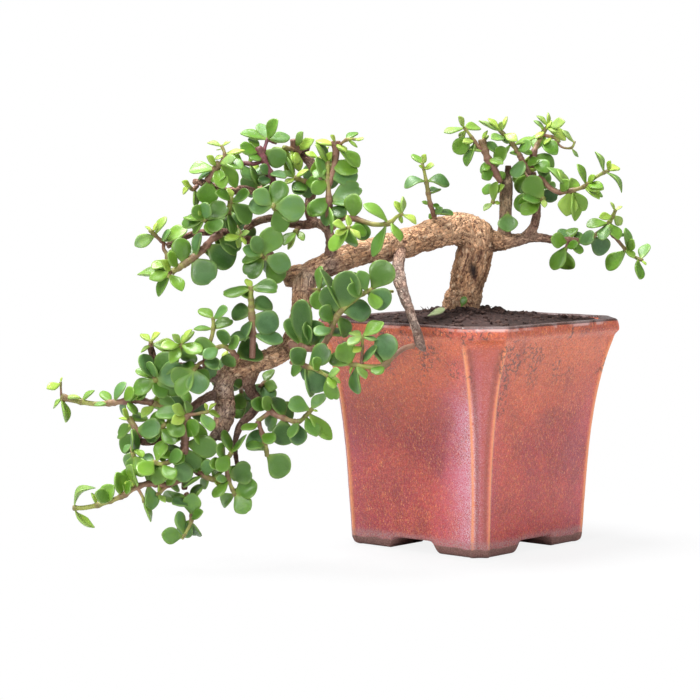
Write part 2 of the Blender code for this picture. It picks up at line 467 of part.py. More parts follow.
        (-66, 161, -74, 173, 0.5), (-95, 129.5, -96, 146, 0.9), (-61, 162, -58, 152, 0.8),
    ]),
    "twig_foot": ([
        [
            (-36, -83, 129.5, 1.5), (-42, -86, 128, 1.5), (-48, -91, 124, 1.5), (-54, -95, 118.5, 1.7),
            (-62, -97, 118, 1.6), (-70, -98, 119, 1.3), (-74, -98, 119.5, 1),
        ],
        [(-67, -97.5, 119, 0.9), (-66.5, -99, 128, 0.9), (-66.5, -99, 137, 0.8)],
    ], [
        (-53, 120, -52, 137.5, 1), (-54, 119, -58.5, 130, 0.6), (-68, 121, -58, 130.5, 0.5),
        (-70, 118, -70, 102, 0.4), (-74, 119, -79, 132.5, 1.2), (-72, 119, -74, 114, 0.5),
        (-66.5, 137, -54, 144.5, 0.7), (-66.5, 136, -58, 134, 0.3), (-66.5, 136, -75, 131, 0.8),
        (-66.5, 135, -74, 140, 0.7), (-67, 130, -72, 127, 0.7), (-73, 119, -86, 124, 0.9),
        (-54, 119, -60, 113, 0.6), (-70, 119, -64, 112, 0.6),
    ]),
    "bough_fan": ([
        [
            (-108, -100, 121, 1.5), (-103, -104, 120.5, 1.4), (-99, -106, 119, 1.2), (-93, -107, 117, 1),
            (-86, -107, 113, 0.9),
        ],
    ], [
        (-100, 119, -107.5, 129, 0.9), (-99, 119, -102, 112, 0.6), (-98, 119, -85.5, 130.5, 0.8),
        (-98, 118, -88, 105, 1.1), (-100, 118, -96, 101, 0.5), (-86, 113, -83, 106, 0.8),
        (-86, 113, -83, 99, 0.8), (-85, 114, -80, 117, 0.8), (-86, 113, -79, 110, 0.5),
        (-101, 119, -108, 115, 0.8), (-92, 116, -95, 124, 0.8),
    ]),
    "drop_leaf": ([
        [(-97, -86, 163, 1.2), (-92, -90, 163, 1.1)],
    ], [
        (-92, 163, -90, 177, 0.4), (-92, 163, -87, 171, 0.7), (-92, 162, -93, 152, 0.8),
    ]),
    "burl_leaf": ([
        [(23.6, -2.4, 206.8, 1), (24.4, -5.2, 206.4, 0.9)],
    ], [
        (24.4, 206, 24.8, 194.6, 1.3),
    ]),
    "stub_side": ([
        [(18, 1, 222, 1.1), (16, -2, 217, 1.1), (15, -3, 212, 1)],
    ], [
        (15, 212, 9.5, 208.5, 0.7), (16, 212, 20, 213, 0.8), (16, 213, 17, 226, 0.5),
        (18, 222, 9, 221, 0.8), (17, 218, 22, 224, 0.6),
    ]),
    "left_fork": ([
        [(20, -1, 226, 1.8), (17, -3, 231, 2), (12, -4, 240, 2.1), (8, -4, 252.5, 1.9)],
        [(10.5, -4, 243, 1.2), (5, -5, 249, 1.1), (0, -5, 256, 0.9), (-3.5, -5, 260, 0.7)],
    ], [
        (16, 233, 8.5, 228, 1), (16, 232, 23, 228, 1), (14, 237, 9, 233, 0.9), (9, 250, 20, 244.5, 0.7),
        (1.5, 253, -9.5, 244.5, 1), (3, 250, -1.5, 235.5, 0.5), (-3, 259, 7, 260, 0.7),
        (-3, 259, -15.5, 257, 0.4), (-3, 260, -6, 266.5, 0.7), (-2, 258, -6, 251, 0.8),
        (3, 251, -4, 250, 0.7), (8, 250, 12, 255, 0.6), (12, 240, 21, 238, 0.7), (10, 245, -1, 247, 0.5),
        (17.8, 231.4, 7.8, 236.3, 1), (14.6, 234.5, 23.3, 246.9, 0.55), (7.7, 251.2, 11.4, 258, 0.45),
    ]),
    "mid_fork": ([
        [
            (38.5, -2, 230.5, 1.5), (34, -3, 238, 1.5), (29, -4, 247, 1.4), (24, -5, 253, 1.2),
            (19, -5, 258, 1),
        ],
    ], [
        (18, 258, 6, 263.5, 0.42), (19, 258, 12, 265.5, 0.34), (20, 257, 20, 263, 0.6),
        (20, 257, 24, 266.5, 0.3), (21, 255, 30, 252, 0.8), (28, 249, 41, 254, 0.4),
        (27, 250, 15, 234.5, 0.7), (30, 245, 39, 250, 0.8), (26, 250, 20, 252, 0.7),
        (32, 242, 26, 245, 0.3), (33, 240, 30, 228, 0.8), (36, 236, 44, 240, 0.7), (23, 254, 14, 252, 0.6),
    ]),
    "riser_top": ([
        [
            (40.5, -1, 235, 1.9), (40.5, -1, 243, 1.7), (43.5, -1, 250, 1.4), (46.5, -1, 256.5, 1.2),
            (50, -1, 261, 0.8),
        ],
        [(46, -1, 255, 1.2), (54, -2, 253, 1), (56, -2, 250.5, 1.6)],
        [(54, -2, 252, 0.8), (58, -2, 247.5, 0.7), (64, -3, 247, 0.7), (66, -3, 251, 0.6)],
    ], [
        (40.5, 244, 32, 246, 0.9), (41, 245, 45, 256, 0.9), (45, 252, 55.5, 243.5, 0.9),
        (42, 242, 54, 236, 0.8), (48, 258, 41, 264.5, 0.4), (50, 261, 43, 267.5, 0.42),
        (51, 259.5, 49.8, 269, 0.36), (50, 260, 60.5, 263, 0.8), (49, 259, 56, 257, 0.7),
        (50, 259, 61, 252, 0.6), (65, 251, 58, 258, 0.4), (64, 247, 68, 241, 0.4), (48, 257, 42, 253, 0.7),
        (52, 254, 47, 249, 0.7), (47, 256.5, 44.5, 262, 0.5), (40.5, 240, 50, 232, 0.6),
        (43, 249, 35, 252, 0.7), (47, 258, 52, 264, 0.4),
    ]),
    "riser_leaves": ([
        [(44.5, -1, 213, 1.2), (47, -5, 216, 1.1)],
    ], [
        (46, 217, 35.5, 228.5, 1), (46, 215, 28, 211.5, 0.8), (47, 215, 47.5, 210, 1),
        (46, 215, 31, 211, 0.9), (46, 213, 33, 206, 0.6), (45.5, 213, 34, 215.5, 0.6),
    ]),
    "riser_buds": ([
        [(38.5, 3, 227.5, 1.2), (36.5, 8, 233, 1.1)],
    ], [
        (36, 234, 39, 242, 0.8), (36, 233, 29.5, 224, 1), (36, 233, 43, 228, 0.8), (37, 231, 31, 219, 0.8),
        (37, 232, 45, 237, 0.7),
    ]),
    "east_arm": ([
        [
            (43.5, -1, 229, 1.6), (47, -2, 226, 1.6), (51, -3, 222, 1.5), (56, -4, 219.5, 1.5),
            (62, -4, 220, 1.4), (68, -4, 221.5, 1.3), (73, -4, 223.5, 1.2), (78, -4, 228, 1.1),
            (84, -4, 231.5, 1), (87.5, -4, 233, 0.8),
        ],
    ], [
        (62, 220, 49.5, 235.5, 0.45, 0.06), (62, 220, 68, 228, 1), (63, 220, 61, 204.5, 1.2),
        (64, 220, 73, 208, 1), (65, 220, 67, 201.5, 0.5), (73, 224, 67.5, 237, 0.45, 0.05),
        (73, 222, 83.5, 216.5, 0.5), (74, 224, 83, 223, 0.7), (74, 225, 78, 230, 0.8),
        (84, 232, 79.5, 245, 0.27, 0.05), (85, 231.5, 97, 221, 0.28, 0.12), (87, 233, 94, 236, 0.7),
        (87, 233, 88, 239, 0.6), (57, 220, 62, 227, 0.8), (46, 227, 48, 236, 0.6),
        (73, 223, 83.5, 222, 0.9), (63, 221, 56, 234, 0.4), (71.8, 223.3, 81.9, 215.9, 0.6),
    ]),
    "east_branch": ([
        [
            (57, -1, 190, 2), (63, -1, 189.5, 1.8), (71, -1, 189, 1.6), (78, -1, 192, 1.5),
            (85, -1, 197, 1.4), (89, -1, 202, 1.2), (92, -1, 208.5, 0.8),
        ],
        [
            (86, -1, 196.5, 1.2), (91.5, -2, 191.5, 1.2), (98, -3, 184, 1.1), (104, -4, 179, 1),
            (109, -4, 177, 0.8),
        ],
        [(62, -2, 189, 0.8), (61, -3, 184, 0.8), (58, -4, 177, 0.7)],
    ], [
        (62, 188, 51.5, 190.5, 1.15), (63, 190, 66, 198, 0.7), (61, 186, 52, 172, 0.7),
        (60, 183, 61.5, 171, 1.1), (60, 185, 68, 188, 0.8), (68, 189, 79, 192, 0.7),
        (76, 191, 87.5, 182.5, 1.1), (88, 200, 74, 199.5, 0.5), (91, 204, 82, 204, 0.8),
        (91, 205, 96, 199, 0.9), (89, 200, 94, 190, 0.9), (98, 183, 86, 171.5, 0.85),
        (98, 184, 103.5, 179, 0.7), (100, 182, 103, 190, 0.7), (100, 183, 99, 197.5, 0.5),
        (106, 178, 106, 165, 0.6), (108, 179, 112, 187, 0.6), (109, 177, 111, 174, 0.7),
        (92, 208, 89, 213.5, 0.5), (92, 208, 96, 211, 0.5), (91, 193, 98, 193, 0.5),
        (66, 189, 70, 181, 0.8), (72, 189, 66, 195, 0.8), (88, 199, 84, 189, 0.7), (63, 189, 58, 197, 0.8),
    ]),
}

# Shoots that grow away from the front, in regular crossed pairs: foot, tip (x, y, z), and
# the number of pairs.
BACK_SHOOTS = {
    "crown_back": ((-96.5, -76, 224), (-84, -38, 238), 4),
    "crown_left_back": ((-125, -82, 218), (-132, -50, 231), 4),
    "west_back": ((-137, -86, 193), (-146, -52, 203), 4),
    "fall_back": ((-147, -94, 104), (-150, -60, 118), 4),
    "low_back": ((-167, -97, 93), (-176, -66, 92), 3),
    "riser_back": ((42.5, 2, 214), (50, 34, 226), 4),
}

# Limbs and leaves are listed as the viewer in front sees them, from VIEWER.
# The bough's path in plan, as (x, y), and the pads of foliage that swell away from it: x, z,
# reach, shift along Y.
BOUGH_PLAN = [
    (-245, -104), (-205, -100), (-150, -96), (-103, -88), (-88, -73), (-64, -58), (-40, -38),
    (-16, -12), (6, 0),
]
PAD_SPREAD = 0.8
VIEWER = (-73.7, -1543.0, 237.0)
PADS = [
    (-97, 246, 28, 22), (-152, 230, 26, -12), (-180, 192, 24, 18), (-225, 98, 34, 16), (-204, 62, 28, -12),
    (-143, 40, 24, 14), (56, 262, 24, 16), (86, 230, 22, -14), (100, 184, 24, 14),
]


def clear_scene():
    for obj in list(bpy.data.objects):
        bpy.data.objects.remove(obj, do_unlink=True)


def new_collection(name, hidden=False):
    collection = bpy.data.collections.new(name)
    bpy.context.scene.collection.children.link(collection)
    collection.hide_render = hidden
    return collection


def material(name, colour, roughness, metallic=0.0):
    made = bpy.data.materials.new(name)
    made.use_nodes = True
    shader = made.node_tree.nodes["Principled BSDF"]
    shader.inputs["Base Color"].default_value = (*colour, 1.0)
    shader.inputs["Roughness"].default_value = roughness
    shader.inputs["Metallic"].default_value = metallic
    return made


def mesh_object(name, bm, collection, finish=None):
    bmesh.ops.recalc_face_normals(bm, faces=bm.faces)
    mesh = bpy.data.meshes.new(name)
    bm.to_mesh(mesh)
    bm.free()
    obj = bpy.data.objects.new(name, mesh)
    collection.objects.link(obj)
    if finish:
        mesh.materials.append(finish)
    return obj


def loft(rings):
    """A closed solid through rings of equal point count, from the lowest to the highest."""
    bm = bmesh.new()
    loops = [[bm.verts.new([v * MM for v in point]) for point in ring] for ring in rings]
    for below, above in zip(loops, loops[1:]):
        for i in range(len(below)):
            j = (i + 1) % len(below)
            bm.faces.new((below[i], below[j], above[j], above[i]))
    bm.faces.new(loops[0][::-1])
    bm.faces.new(loops[-1])
    return bm


def cut(obj, cutter, operation="DIFFERENCE"):
    modifier = obj.modifiers.new(cutter.name, "BOOLEAN")
    modifier.operation = operation
    modifier.solver = "EXACT"
    modifier.object = cutter


def as_cutter(obj):
    obj.hide_render = True
    obj.display_type = "WIRE"
    return obj


def bake(obj):
    """Applies the modifiers, so that later steps read a plain mesh."""
    graph = bpy.context.evaluated_depsgraph_get()
    mesh = bpy.data.meshes.new_from_object(obj.evaluated_get(graph))
    obj.modifiers.clear()
    obj.data = mesh
    return obj


def evaluated_volume(obj):
    bm = bmesh.new()
    bm.from_object(obj, bpy.context.evaluated_depsgraph_get())
    volume = bm.calc_volume(signed=True)
    bm.free()
    return volume


# Pot


def pot_half(z):
    """Half the width across the flats of the outer wall at height z."""
    lip = POT_HEIGHT - LIP_HEIGHT
    if z > lip:
        return RIM_HALF
    share = z / lip
    sweep = RIM_HALF - LIP_STEP - BASE_HALF - BASE_FLARE
    return BASE_HALF + BASE_FLARE * share + sweep * share ** WALL_SWEEP


def corner_width(z):
    return CORNER_FOOT + (CORNER_RIM - CORNER_FOOT) * (z / POT_HEIGHT) ** 3.2


def corner_recess(z):
    lip = POT_HEIGHT - LIP_HEIGHT
    return 0.4 if z > lip else 0.8 + 2.2 * (z / lip) ** 2


def turned(point, quarter):
    angle = math.radians(POT_TURN + 90 * quarter)
    x, y, z = point
    return (x * math.cos(angle) - y * math.sin(angle), x * math.sin(angle) + y * math.cos(angle), z)


def outer_ring(z, inset=0.0):
    """Four canted corners, each a shallow flute between two ribs."""
    half = pot_half(z) - inset
    cant = corner_width(z) / math.sqrt(2)
    rise = 0.0 if z > POT_HEIGHT - LIP_HEIGHT else RIB_RISE
    flute = half - cant / 2 - corner_recess(z) / math.sqrt(2)
    corner = [
        (half, half - cant - RIB_WIDTH),
        (half + rise, half - cant - RIB_WIDTH / 2),
        (half, half - cant),
        (flute, flute),
        (half - cant, half),
        (half - cant - RIB_WIDTH / 2, half + rise),
        (half - cant - RIB_WIDTH, half),
    ]
    return [turned((x, y, z), quarter) for quarter in range(4) for x, y in corner]


def inner_ring(z, inset=0.0):
    height = min(z, POT_HEIGHT - LIP_HEIGHT)
    half = pot_half(height) - WALL - inset
    cant = corner_width(height) / math.sqrt(2) + corner_recess(height)
    corner = [(half, half - cant), (half - cant, half)]
    return [turned((x, y, z), quarter) for quarter in range(4) for x, y in corner]


def make_pot(parts, cutters):
    lip = POT_HEIGHT - LIP_HEIGHT
    levels = [30, 60, 85, 103, 118, lip - 0.2, lip + 0.2, POT_HEIGHT]
    rings = [outer_ring(0, inset=1.0), outer_ring(4)] + [outer_ring(z) for z in levels]
    pot = mesh_object("pot", loft(rings), parts, material("pot_glaze", (0.42, 0.11, 0.06), 0.3))
    hollow = loft([inner_ring(z) for z in (FLOOR_TOP, 60, 100, lip, POT_HEIGHT + 5)])
    cut(pot, as_cutter(mesh_object("pot_hollow", hollow, cutters)))
    for quarter in range(2):
        low, high, reach = ARCH_AT_FLOOR / 2, ARCH_AT_TOP / 2, RIM_HALF * 2
        sides = [(low, -1), (high, FOOT_HEIGHT), (-high, FOOT_HEIGHT), (-low, -1)]
        arch = loft([[turned((end, y, z), quarter) for y, z in sides] for end in (-reach, reach)])
        cut(pot, as_cutter(mesh_object(f"arch_{quarter}", arch, cutters)))
    drain = bmesh.new()
    radius = DRAIN_RADIUS * MM
    bmesh.ops.create_cone(drain, cap_ends=True, segments=16, radius1=radius, radius2=radius,
                          depth=3 * FLOOR_TOP * MM)
    cut(pot, as_cutter(mesh_object("drain_hole", drain, cutters)))
    return bake(pot)


# Soil


def soil_height(share):
    """Height of the mound, from the pot's wall (0) to the trunk (1)."""
    return SOIL_EDGE + (SOIL_CROWN - SOIL_EDGE) * share ** 1.6


def make_soil(parts, cutters):
    rings = [inner_ring(z, inset=GAP) for z in (FLOOR_TOP + GAP, 60, 100, 128, SOIL_EDGE)]
    edge = rings[-1]
    for share in (0.25, 0.5, 0.75):
        rings.append([
            (x + (ROOT_AT[0] - x) * share, y + (ROOT_AT[1] - y) * share, soil_height(share))
            for x, y, _ in edge
        ])
    soil = mesh_object("soil", loft(rings), parts, material("potting_soil", (0.03, 0.018, 0.012), 0.95))
    pocket = bmesh.new()
    radius = ROOT_POCKET * MM
    bmesh.ops.create_cone(pocket, cap_ends=True, segments=20, radius1=radius, radius2=radius,
                          depth=40 * MM)
    hole = mesh_object("root_pocket", pocket, cutters)
    hole.location = (ROOT_AT[0] * MM, ROOT_AT[1] * MM, (ROOT_BOTTOM - GAP + 20) * MM)
    bpy.context.view_layer.update()
    cut(soil, as_cutter(hole))
    return bake(soil)


# Stems and wood


def limb_tube(name, points, collection, sides):
    """A tube along the points, with its own radius at each, as a closed mesh."""
    curve = bpy.data.curves.new(name, "CURVE")
    curve.dimensions = "3D"
    curve.bevel_depth = MM
    curve.bevel_resolution = sides // 2 - 2
    curve.use_fill_caps = True
    spline = curve.splines.new("POLY")
    spline.points.add(len(points) - 1)
    for point, (x, y, z, radius) in zip(spline.points, points):
        point.co = (x * MM, y * MM, z * MM, 1)
        point.radius = radius
    guide = bpy.data.objects.new(name, curve)
    collection.objects.link(guide)
    graph = bpy.context.evaluated_depsgraph_get()
    mesh = bpy.data.meshes.new_from_object(guide.evaluated_get(graph))
    bpy.data.objects.remove(guide)
    bm = bmesh.new()
    bm.from_mesh(mesh)
    bmesh.ops.remove_doubles(bm, verts=bm.verts, dist=0.01 * MM)
    return mesh_object(name, bm, collection)


def joined(name, pieces, finish):
    """One body from overlapping pieces: the first, with the others added by Boolean unions.

    The exact solver can lose a piece where two surfaces run along each other, so its volume is compared.
    """
    whole = pieces[0]
    for piece in pieces[1:]:
        cut(whole, piece, "UNION")
    exact = evaluated_volume(whole)
    for modifier in whole.modifiers:
        modifier.solver = "MANIFOLD"
    if exact > 0.998 * evaluated_volume(whole):
        for modifier in whole.modifiers:
            modifier.solver = "EXACT"
    else:
        print(name, "is joined by the manifold solver")
    bake(whole)
    for piece in pieces[1:]:
        bpy.data.objects.remove(piece, do_unlink=True)
    whole.name = name
    whole.data.name = name
    whole.data.materials.clear()
    whole.data.materials.append(finish)
    return whole


def make_trunk(parts):
    pieces = []
    for name, points in LIMBS.items():
        thick = max(point[3] for point in points)
        tube = [spread(point) for point in points]
        pieces.append(limb_tube(f"limb_{name}", tube, parts, 8 if thick > 7 else 6))
    return joined("trunk", pieces, material("bark", (0.33, 0.21, 0.13), 0.9))


def in_sight(x, z, depth, new_depth):
    """Where (x, z) goes when its depth changes, for the viewer in front to see it in the same place."""
    scale = (new_depth - VIEWER[1]) / (depth - VIEWER[1])
    return VIEWER[0] + (x - VIEWER[0]) * scale, VIEWER[2] + (z - VIEWER[2]) * scale


def spread(point):
    """Moves a point of the limbs in depth, so that the foliage fills pads instead of a flat fan."""
    x, y, z, radius = point
    path = float(np.interp(x, *zip(*BOUGH_PLAN)))
    swell = 0
    for pad_x, pad_z, reach, shift in PADS:
        swell += shift * math.exp(-((x - pad_x) ** 2 + (z - pad_z) ** 2) / reach ** 2)
    depth = y + PAD_SPREAD * (y - path) * min(1, max(0, -1 - x / 20)) + swell
    new_x, new_z = in_sight(x, z, y, depth)
    return new_x, depth, new_z, radius


def segments_of(lines):
    rows = [(*a, *b) for points in lines for a, b in zip(points, points[1:])]
    return np.array(rows, float).reshape(-1, 8)


def clearance_to(segments, points):
    """The least distance from any of the points to the surface of any tapered segment."""
    if not len(segments):
        return 1e9
    start, end = segments[:, :3], segments[:, 4:7]
    along = end - start
    offset = points[:, None, :] - start[None]
    share = np.clip((offset * along).sum(-1) / (along * along).sum(-1), 0, 1)
    near = offset - share[..., None] * along
    radius = segments[:, 3] + share * (segments[:, 7] - segments[:, 3])
    return float((np.sqrt((near * near).sum(-1)) - radius).min())


def trimmed(points, segments):
    """The stem from where its whole end stands clear of the wood that it grows from."""
    dense = []
    for a, b in zip(points, points[1:]):
        steps = max(2, int(math.dist(a[:3], b[:3]) / 0.5))
        dense += [[p + (q - p) * i / steps for p, q in zip(a, b)] for i in range(steps)]
    dense.append(list(points[-1]))
    for i, point in enumerate(dense[:-1]):
        centre = np.array([point[:3]])
        if clearance_to(segments, centre) > point[3] + CLEARANCE:
            break
    start = points[0][:3]
    passed = [p for p in points if math.dist(p[:3], start) > math.dist(point[:3], start) + 0.5]
    return [tuple(point)] + (passed or [points[-1]])


# Leaves


def nearest_on(stems, x, z):
    """The point of the stems that is nearest to (x, z) in front view."""
    best = None
    for points in stems:
        for i, (a, b) in enumerate(zip(points, points[1:])):
            run = (b[0] - a[0], b[2] - a[2])
            length = max(1e-9, run[0] ** 2 + run[1] ** 2)
            end = min(0.45, 0.9 / math.dist(a[:3], b[:3]))
            first = end if i == 0 else 0
            last = 1 - end if i == len(points) - 2 else 1
            share = min(last, max(first, ((x - a[0]) * run[0] + (z - a[2]) * run[1]) / length))
            at = [p + (q - p) * share for p, q in zip(a, b)]
            miss = math.hypot(at[0] - x, at[2] - z)
            if best is None or miss < best[0] - 1e-6:
                best = (miss, Vector(at[:3]))
    return best[1]


def leaf_in_depth(stems, leaf):
    """A leaf's row, moved with the stem that carries it when that stem is spread in depth."""
    node = nearest_on(stems, *leaf[:2])
    depth = spread((*node, 0))[1]
    return (*in_sight(*leaf[:2], node.y, depth), *in_sight(*leaf[2:4], node.y, depth), *leaf[4:])


def leaf_frame(base, leaf, index, lean_shift, roll_shift):
    """Origin, axes, size and arch of a leaf, worked out from where its tip shows in front view."""
    tip_x, tip_z = leaf[2:4]
    share = leaf[4] if len(leaf) > 4 else 0.92
    arch = leaf[5] if len(leaf) > 5 else 0.0
    shown = math.hypot(tip_x - base.x, tip_z - base.z)
    swing = math.sin(GOLDEN_TURN * index)
    grown = min(GROWN_LEAF, 1.5 * shown) if share > 0.5 else shown
    hidden = 0.8 * math.sqrt(max(0, grown * grown - shown * shown))
    lean = lean_shift + 0.2 * shown * swing + math.copysign(hidden, swing - 0.35)
    tip_x, tip_z = in_sight(tip_x, tip_z, base.y, base.y + lean)
    axis = Vector((tip_x - base.x, lean, tip_z - base.z))
    length = axis.length
    axis.normalize()
    front = Vector((0, -1, 0))
    front = (front - axis * front.dot(axis)).normalized()
    skyward = axis.cross(front).z + 0.3 * swing
    roll = math.copysign(math.acos(min(1, share)), skyward) + roll_shift
    normal = Matrix.Rotation(roll, 3, axis) @ front
    side = normal.cross(axis)
    width = min(LEAF_WIDTH * (shown + length) / 2, LEAF_WIDEST) * max(1.0, share)
    return base, axis, side, normal, length, width, arch


def crossed_frame(foot, tip, pairs, number, twist, size):
    """The leaf of one side of a pair, along a shoot that carries its pairs at right angles to each other."""
    along = (tip - foot).normalized()
    flat = along.cross(Vector((0, 0, 1))).normalized()
    node, side = divmod(number, 2)
    share = 0.3 + 0.64 * node / (pairs - 1)
    turn = math.radians(90 * node + 180 * side + 20 + twist)
    out = Matrix.Rotation(turn, 3, along) @ flat
    axis = (out + along * (0.35 + 0.5 * share)).normalized()
    length = (15.5 - 7 * share) * size
    normal = along.cross(axis).cross(axis).normalized() * (-1 if node % 2 else 1)
    return foot.lerp(tip, share), axis, normal.cross(axis), normal, length, LEAF_WIDTH * length, 0.0


def leaf_cage(frame, grow=0.0):
    """A flat double cone: a ring of points, narrow at the stem, and a blade centre on each side."""
    base, axis, side, normal, length, width, arch = frame
    thick = LEAF_THICK * min(1, length / 12) + 2 * grow
    bm = bmesh.new()
    ring = LEAF_RING if length > SMALL_LEAF else LEAF_RING - 1
    bmesh.ops.create_uvsphere(bm, u_segments=ring, v_segments=2, radius=1)
    turn = math.pi - min(math.atan2(v.co.y, v.co.x) % math.tau for v in bm.verts if abs(v.co.z) < 0.5)
    for vert in bm.verts:
        if abs(vert.co.z) > 0.5:
            along, across, over = 0.55, 0.0, vert.co.z * thick / 2
        else:
            angle = math.atan2(vert.co.y, vert.co.x) + turn
            along = 0.5 + 0.5 * math.cos(angle)
            across = math.sin(angle) * (0.62 + 0.5 * along) * (width / 2 + grow)
            over = 0.0
        over += 4 * arch * length * along * (1 - along)
        vert.co = base + axis * (along * (length + 2 * grow) - grow) + side * across + normal * over
    return bm


def leaf_points(bm):
    """The corners of a leaf and points along its edges, to measure clearances with."""
    rows = [v.co for v in bm.verts]
    for edge in bm.edges:
        rows += [edge.verts[0].co.lerp(edge.verts[1].co, step / 5) for step in range(1, 5)]
    return np.array([tuple(r) for r in rows])


def beside_pot(points):
    """True where no point is inside the pot or the soil."""
    angle = math.radians(POT_TURN)
    u = points[:, 0] * math.cos(angle) + points[:, 1] * math.sin(angle)
    v = points[:, 1] * math.cos(angle) - points[:, 0] * math.sin(angle)
    across = np.maximum(abs(u), abs(v))
    height = points[:, 2]
    share = np.clip(height / (POT_HEIGHT - LIP_HEIGHT), 0, 1)
    wall = BASE_HALF + BASE_FLARE * share + (RIM_HALF - BASE_HALF - BASE_FLARE) * share ** WALL_SWEEP + 1.5
    return bool(((across > wall) | (height > SOIL_CROWN + 2)).all())


LEAN_SHIFTS = (0, -3, 3, -6, 6, -9, 9, -12, 12)
ROLL_SHIFTS = (0, 0.5, -0.5)
TWISTS = (0, 20, -20, 40, -40)
SIZES = (1, 0.8, 0.65)


def front_choices(stems, leaves):
    """For each leaf, the ways it can stand that show the same tip in front view."""
    for index, leaf in enumerate(leaves):
        base = nearest_on(stems, *leaf[:2])
        yield [leaf_frame(base, leaf, index, shift, roll) for shift in LEAN_SHIFTS for roll in ROLL_SHIFTS]


def back_choices(stems, pairs):
    foot, tip = Vector(stems[0][0][:3]), Vector(stems[0][-1][:3])
    for number in range(2 * pairs):
        yield [crossed_frame(foot, tip, pairs, number, twist, size) for size in SIZES for twist in TWISTS]


def first_clear(choices, name, blocks, placed):
    """The first way a leaf can stand without meeting the wood, the pot or another shoot."""
    for frame in choices:
        bm = leaf_cage(frame, CLEARANCE / 2)
        points = leaf_points(bm)
        tree = BVHTree.FromBMesh(bm)
        bm.free()
        base, axis, length = frame[0], frame[1], frame[4]
        far = points[(points - np.array(base)) @ np.array(axis) > 2.5]
        if clearance_to(blocks, far) < CLEARANCE or not beside_pot(points):
            continue
        centre, reach = base + axis * length / 2, length * 0.75 + 1
        near = [t for c, r, own, t in placed if own != name and (centre - c).length < reach + r]
        if not any(tree.overlap(t) for t in near):
            placed.append((centre, reach, name, tree))
            return frame
    return None


def place_leaves(shoots, wood):
    placed, chosen = [], {}
    for name, (stems, leaves) in shoots.items():
        others = segments_of([s for other, (lines, _) in shoots.items() if other != name for s in lines])
        blocks = np.concatenate([wood, others])
        choices = back_choices(stems, leaves) if name in BACK_SHOOTS else front_choices(stems, leaves)
        frames = [first_clear(ways, name, blocks, placed) for ways in choices]
        chosen[name] = [frame for frame in frames if frame]
        if len(chosen[name]) < len(frames):
            print(name, "has no room for", len(frames) - len(chosen[name]), "leaves")
    return chosen


def leaf_object(name, frame, collection):
    bm = leaf_cage(frame)
    bmesh.ops.scale(bm, vec=(MM, MM, MM), verts=bm.verts)
    return mesh_object(name, bm, collection)


def make_shoots(parts):
    wood = segments_of([[spread(point) for point in points] for points in LIMBS.values()])
    shoots = {}
    for name, (stems, leaves) in SHOOTS.items():
        lines = [[spread(point) for point in points] for points in stems]
        set_leaves = [leaf_in_depth(stems, leaf) for leaf in leaves]
        shoots[name] = ([trimmed(lines[0], wood)] + lines[1:], set_leaves)
    for name, (foot, tip, pairs) in BACK_SHOOTS.items():
        middle = [(a + b) / 2 for a, b in zip(foot, tip)]
        line = [spread((*foot, 1.5)), spread((*middle[:2], middle[2] + 1, 1.3)), spread((*tip, 0.9))]
        shoots[name] = ([trimmed(line, wood)], pairs)
    frames = place_leaves(shoots, wood)
    for number, (name, (stems, _)) in enumerate(shoots.items()):
        pieces = [limb_tube(f"{name}_stem_{i}", points, parts, 6) for i, points in enumerate(stems)]
        pieces += [leaf_object(f"{name}_leaf_{i}", frame, parts) for i, frame in enumerate(frames[name])]
        shade = 0.5 + 0.5 * math.sin(GOLDEN_TURN * number)
        finish = material(f"{name}_green", (0.08 + 0.07 * shade, 0.25 + 0.08 * shade, 0.05), 0.35)
        joined(name, pieces, finish)


def make_loose_leaves(parts):
    fallen = (Vector((-26.4, -42, 144.6)), Vector((0.8, 0.5, 0.3)).normalized(), 13.0, 5.0)
    foot = (Vector((-4.8, -17.8, 148.8)), Vector((0.35, 0.22, 0.9)).normalized(), 7.0, 4.8)
    for name, (base, axis, length, width) in {"fallen_leaf": fallen, "foot_leaf": foot}.items():
        up = Vector((0, -0.6, 0.8))
        normal = (up - axis * up.dot(axis)).normalized()
        leaf = leaf_object(name, (base, axis, normal.cross(axis), normal, length, width, 0.0), parts)
        leaf.data.materials.append(material(f"{name}_green", (0.3, 0.4, 0.18), 0.4))


def stand_on_origin(parts):
    """Puts the middle of the whole object's foot at the origin."""
    root = bpy.data.objects.new("bonsai_origin", None)
    bpy.context.scene.collection.objects.link(root)
    corners = np.array([tuple(v.co) for obj in parts.objects for v in obj.data.vertices])
    low, high = corners.min(axis=0), corners.max(axis=0)
    for obj in parts.objects:
        obj.parent = root
    root.location = (-(low[0] + high[0]) / 2, -(low[1] + high[1]) / 2, -low[2])
    print("pot axis stands at", [round(v, 5) for v in root.location])


def main():
    clear_scene()
    parts = new_collection("elephant_bush_bonsai")
    cutters = new_collection("cutters", hidden=True)
    make_pot(parts, cutters)
    make_soil(parts, cutters)
    make_trunk(parts)
    make_shoots(parts)
    make_loose_leaves(parts)
    for obj in parts.objects:
        if obj.name not in ("pot", "soil"):
            obj.data.shade_smooth()
    stand_on_origin(parts)


main()
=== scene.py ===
# %% [markdown]
# Elephant bush bonsai, looks
#
# The solid model already says how big everything is and where it stands. This file dresses it: each
# solid is replaced by a finer mesh of the same size, with a procedural finish. Work runs from the frame,
# through the pot, the soil, the wood and the leaves, to the light and the camera.

# %% Load the fixed frame
import json
import math

import bmesh
import bpy
import numpy as np
from mathutils import Matrix, Vector, noise
from mathutils.bvhtree import BVHTree

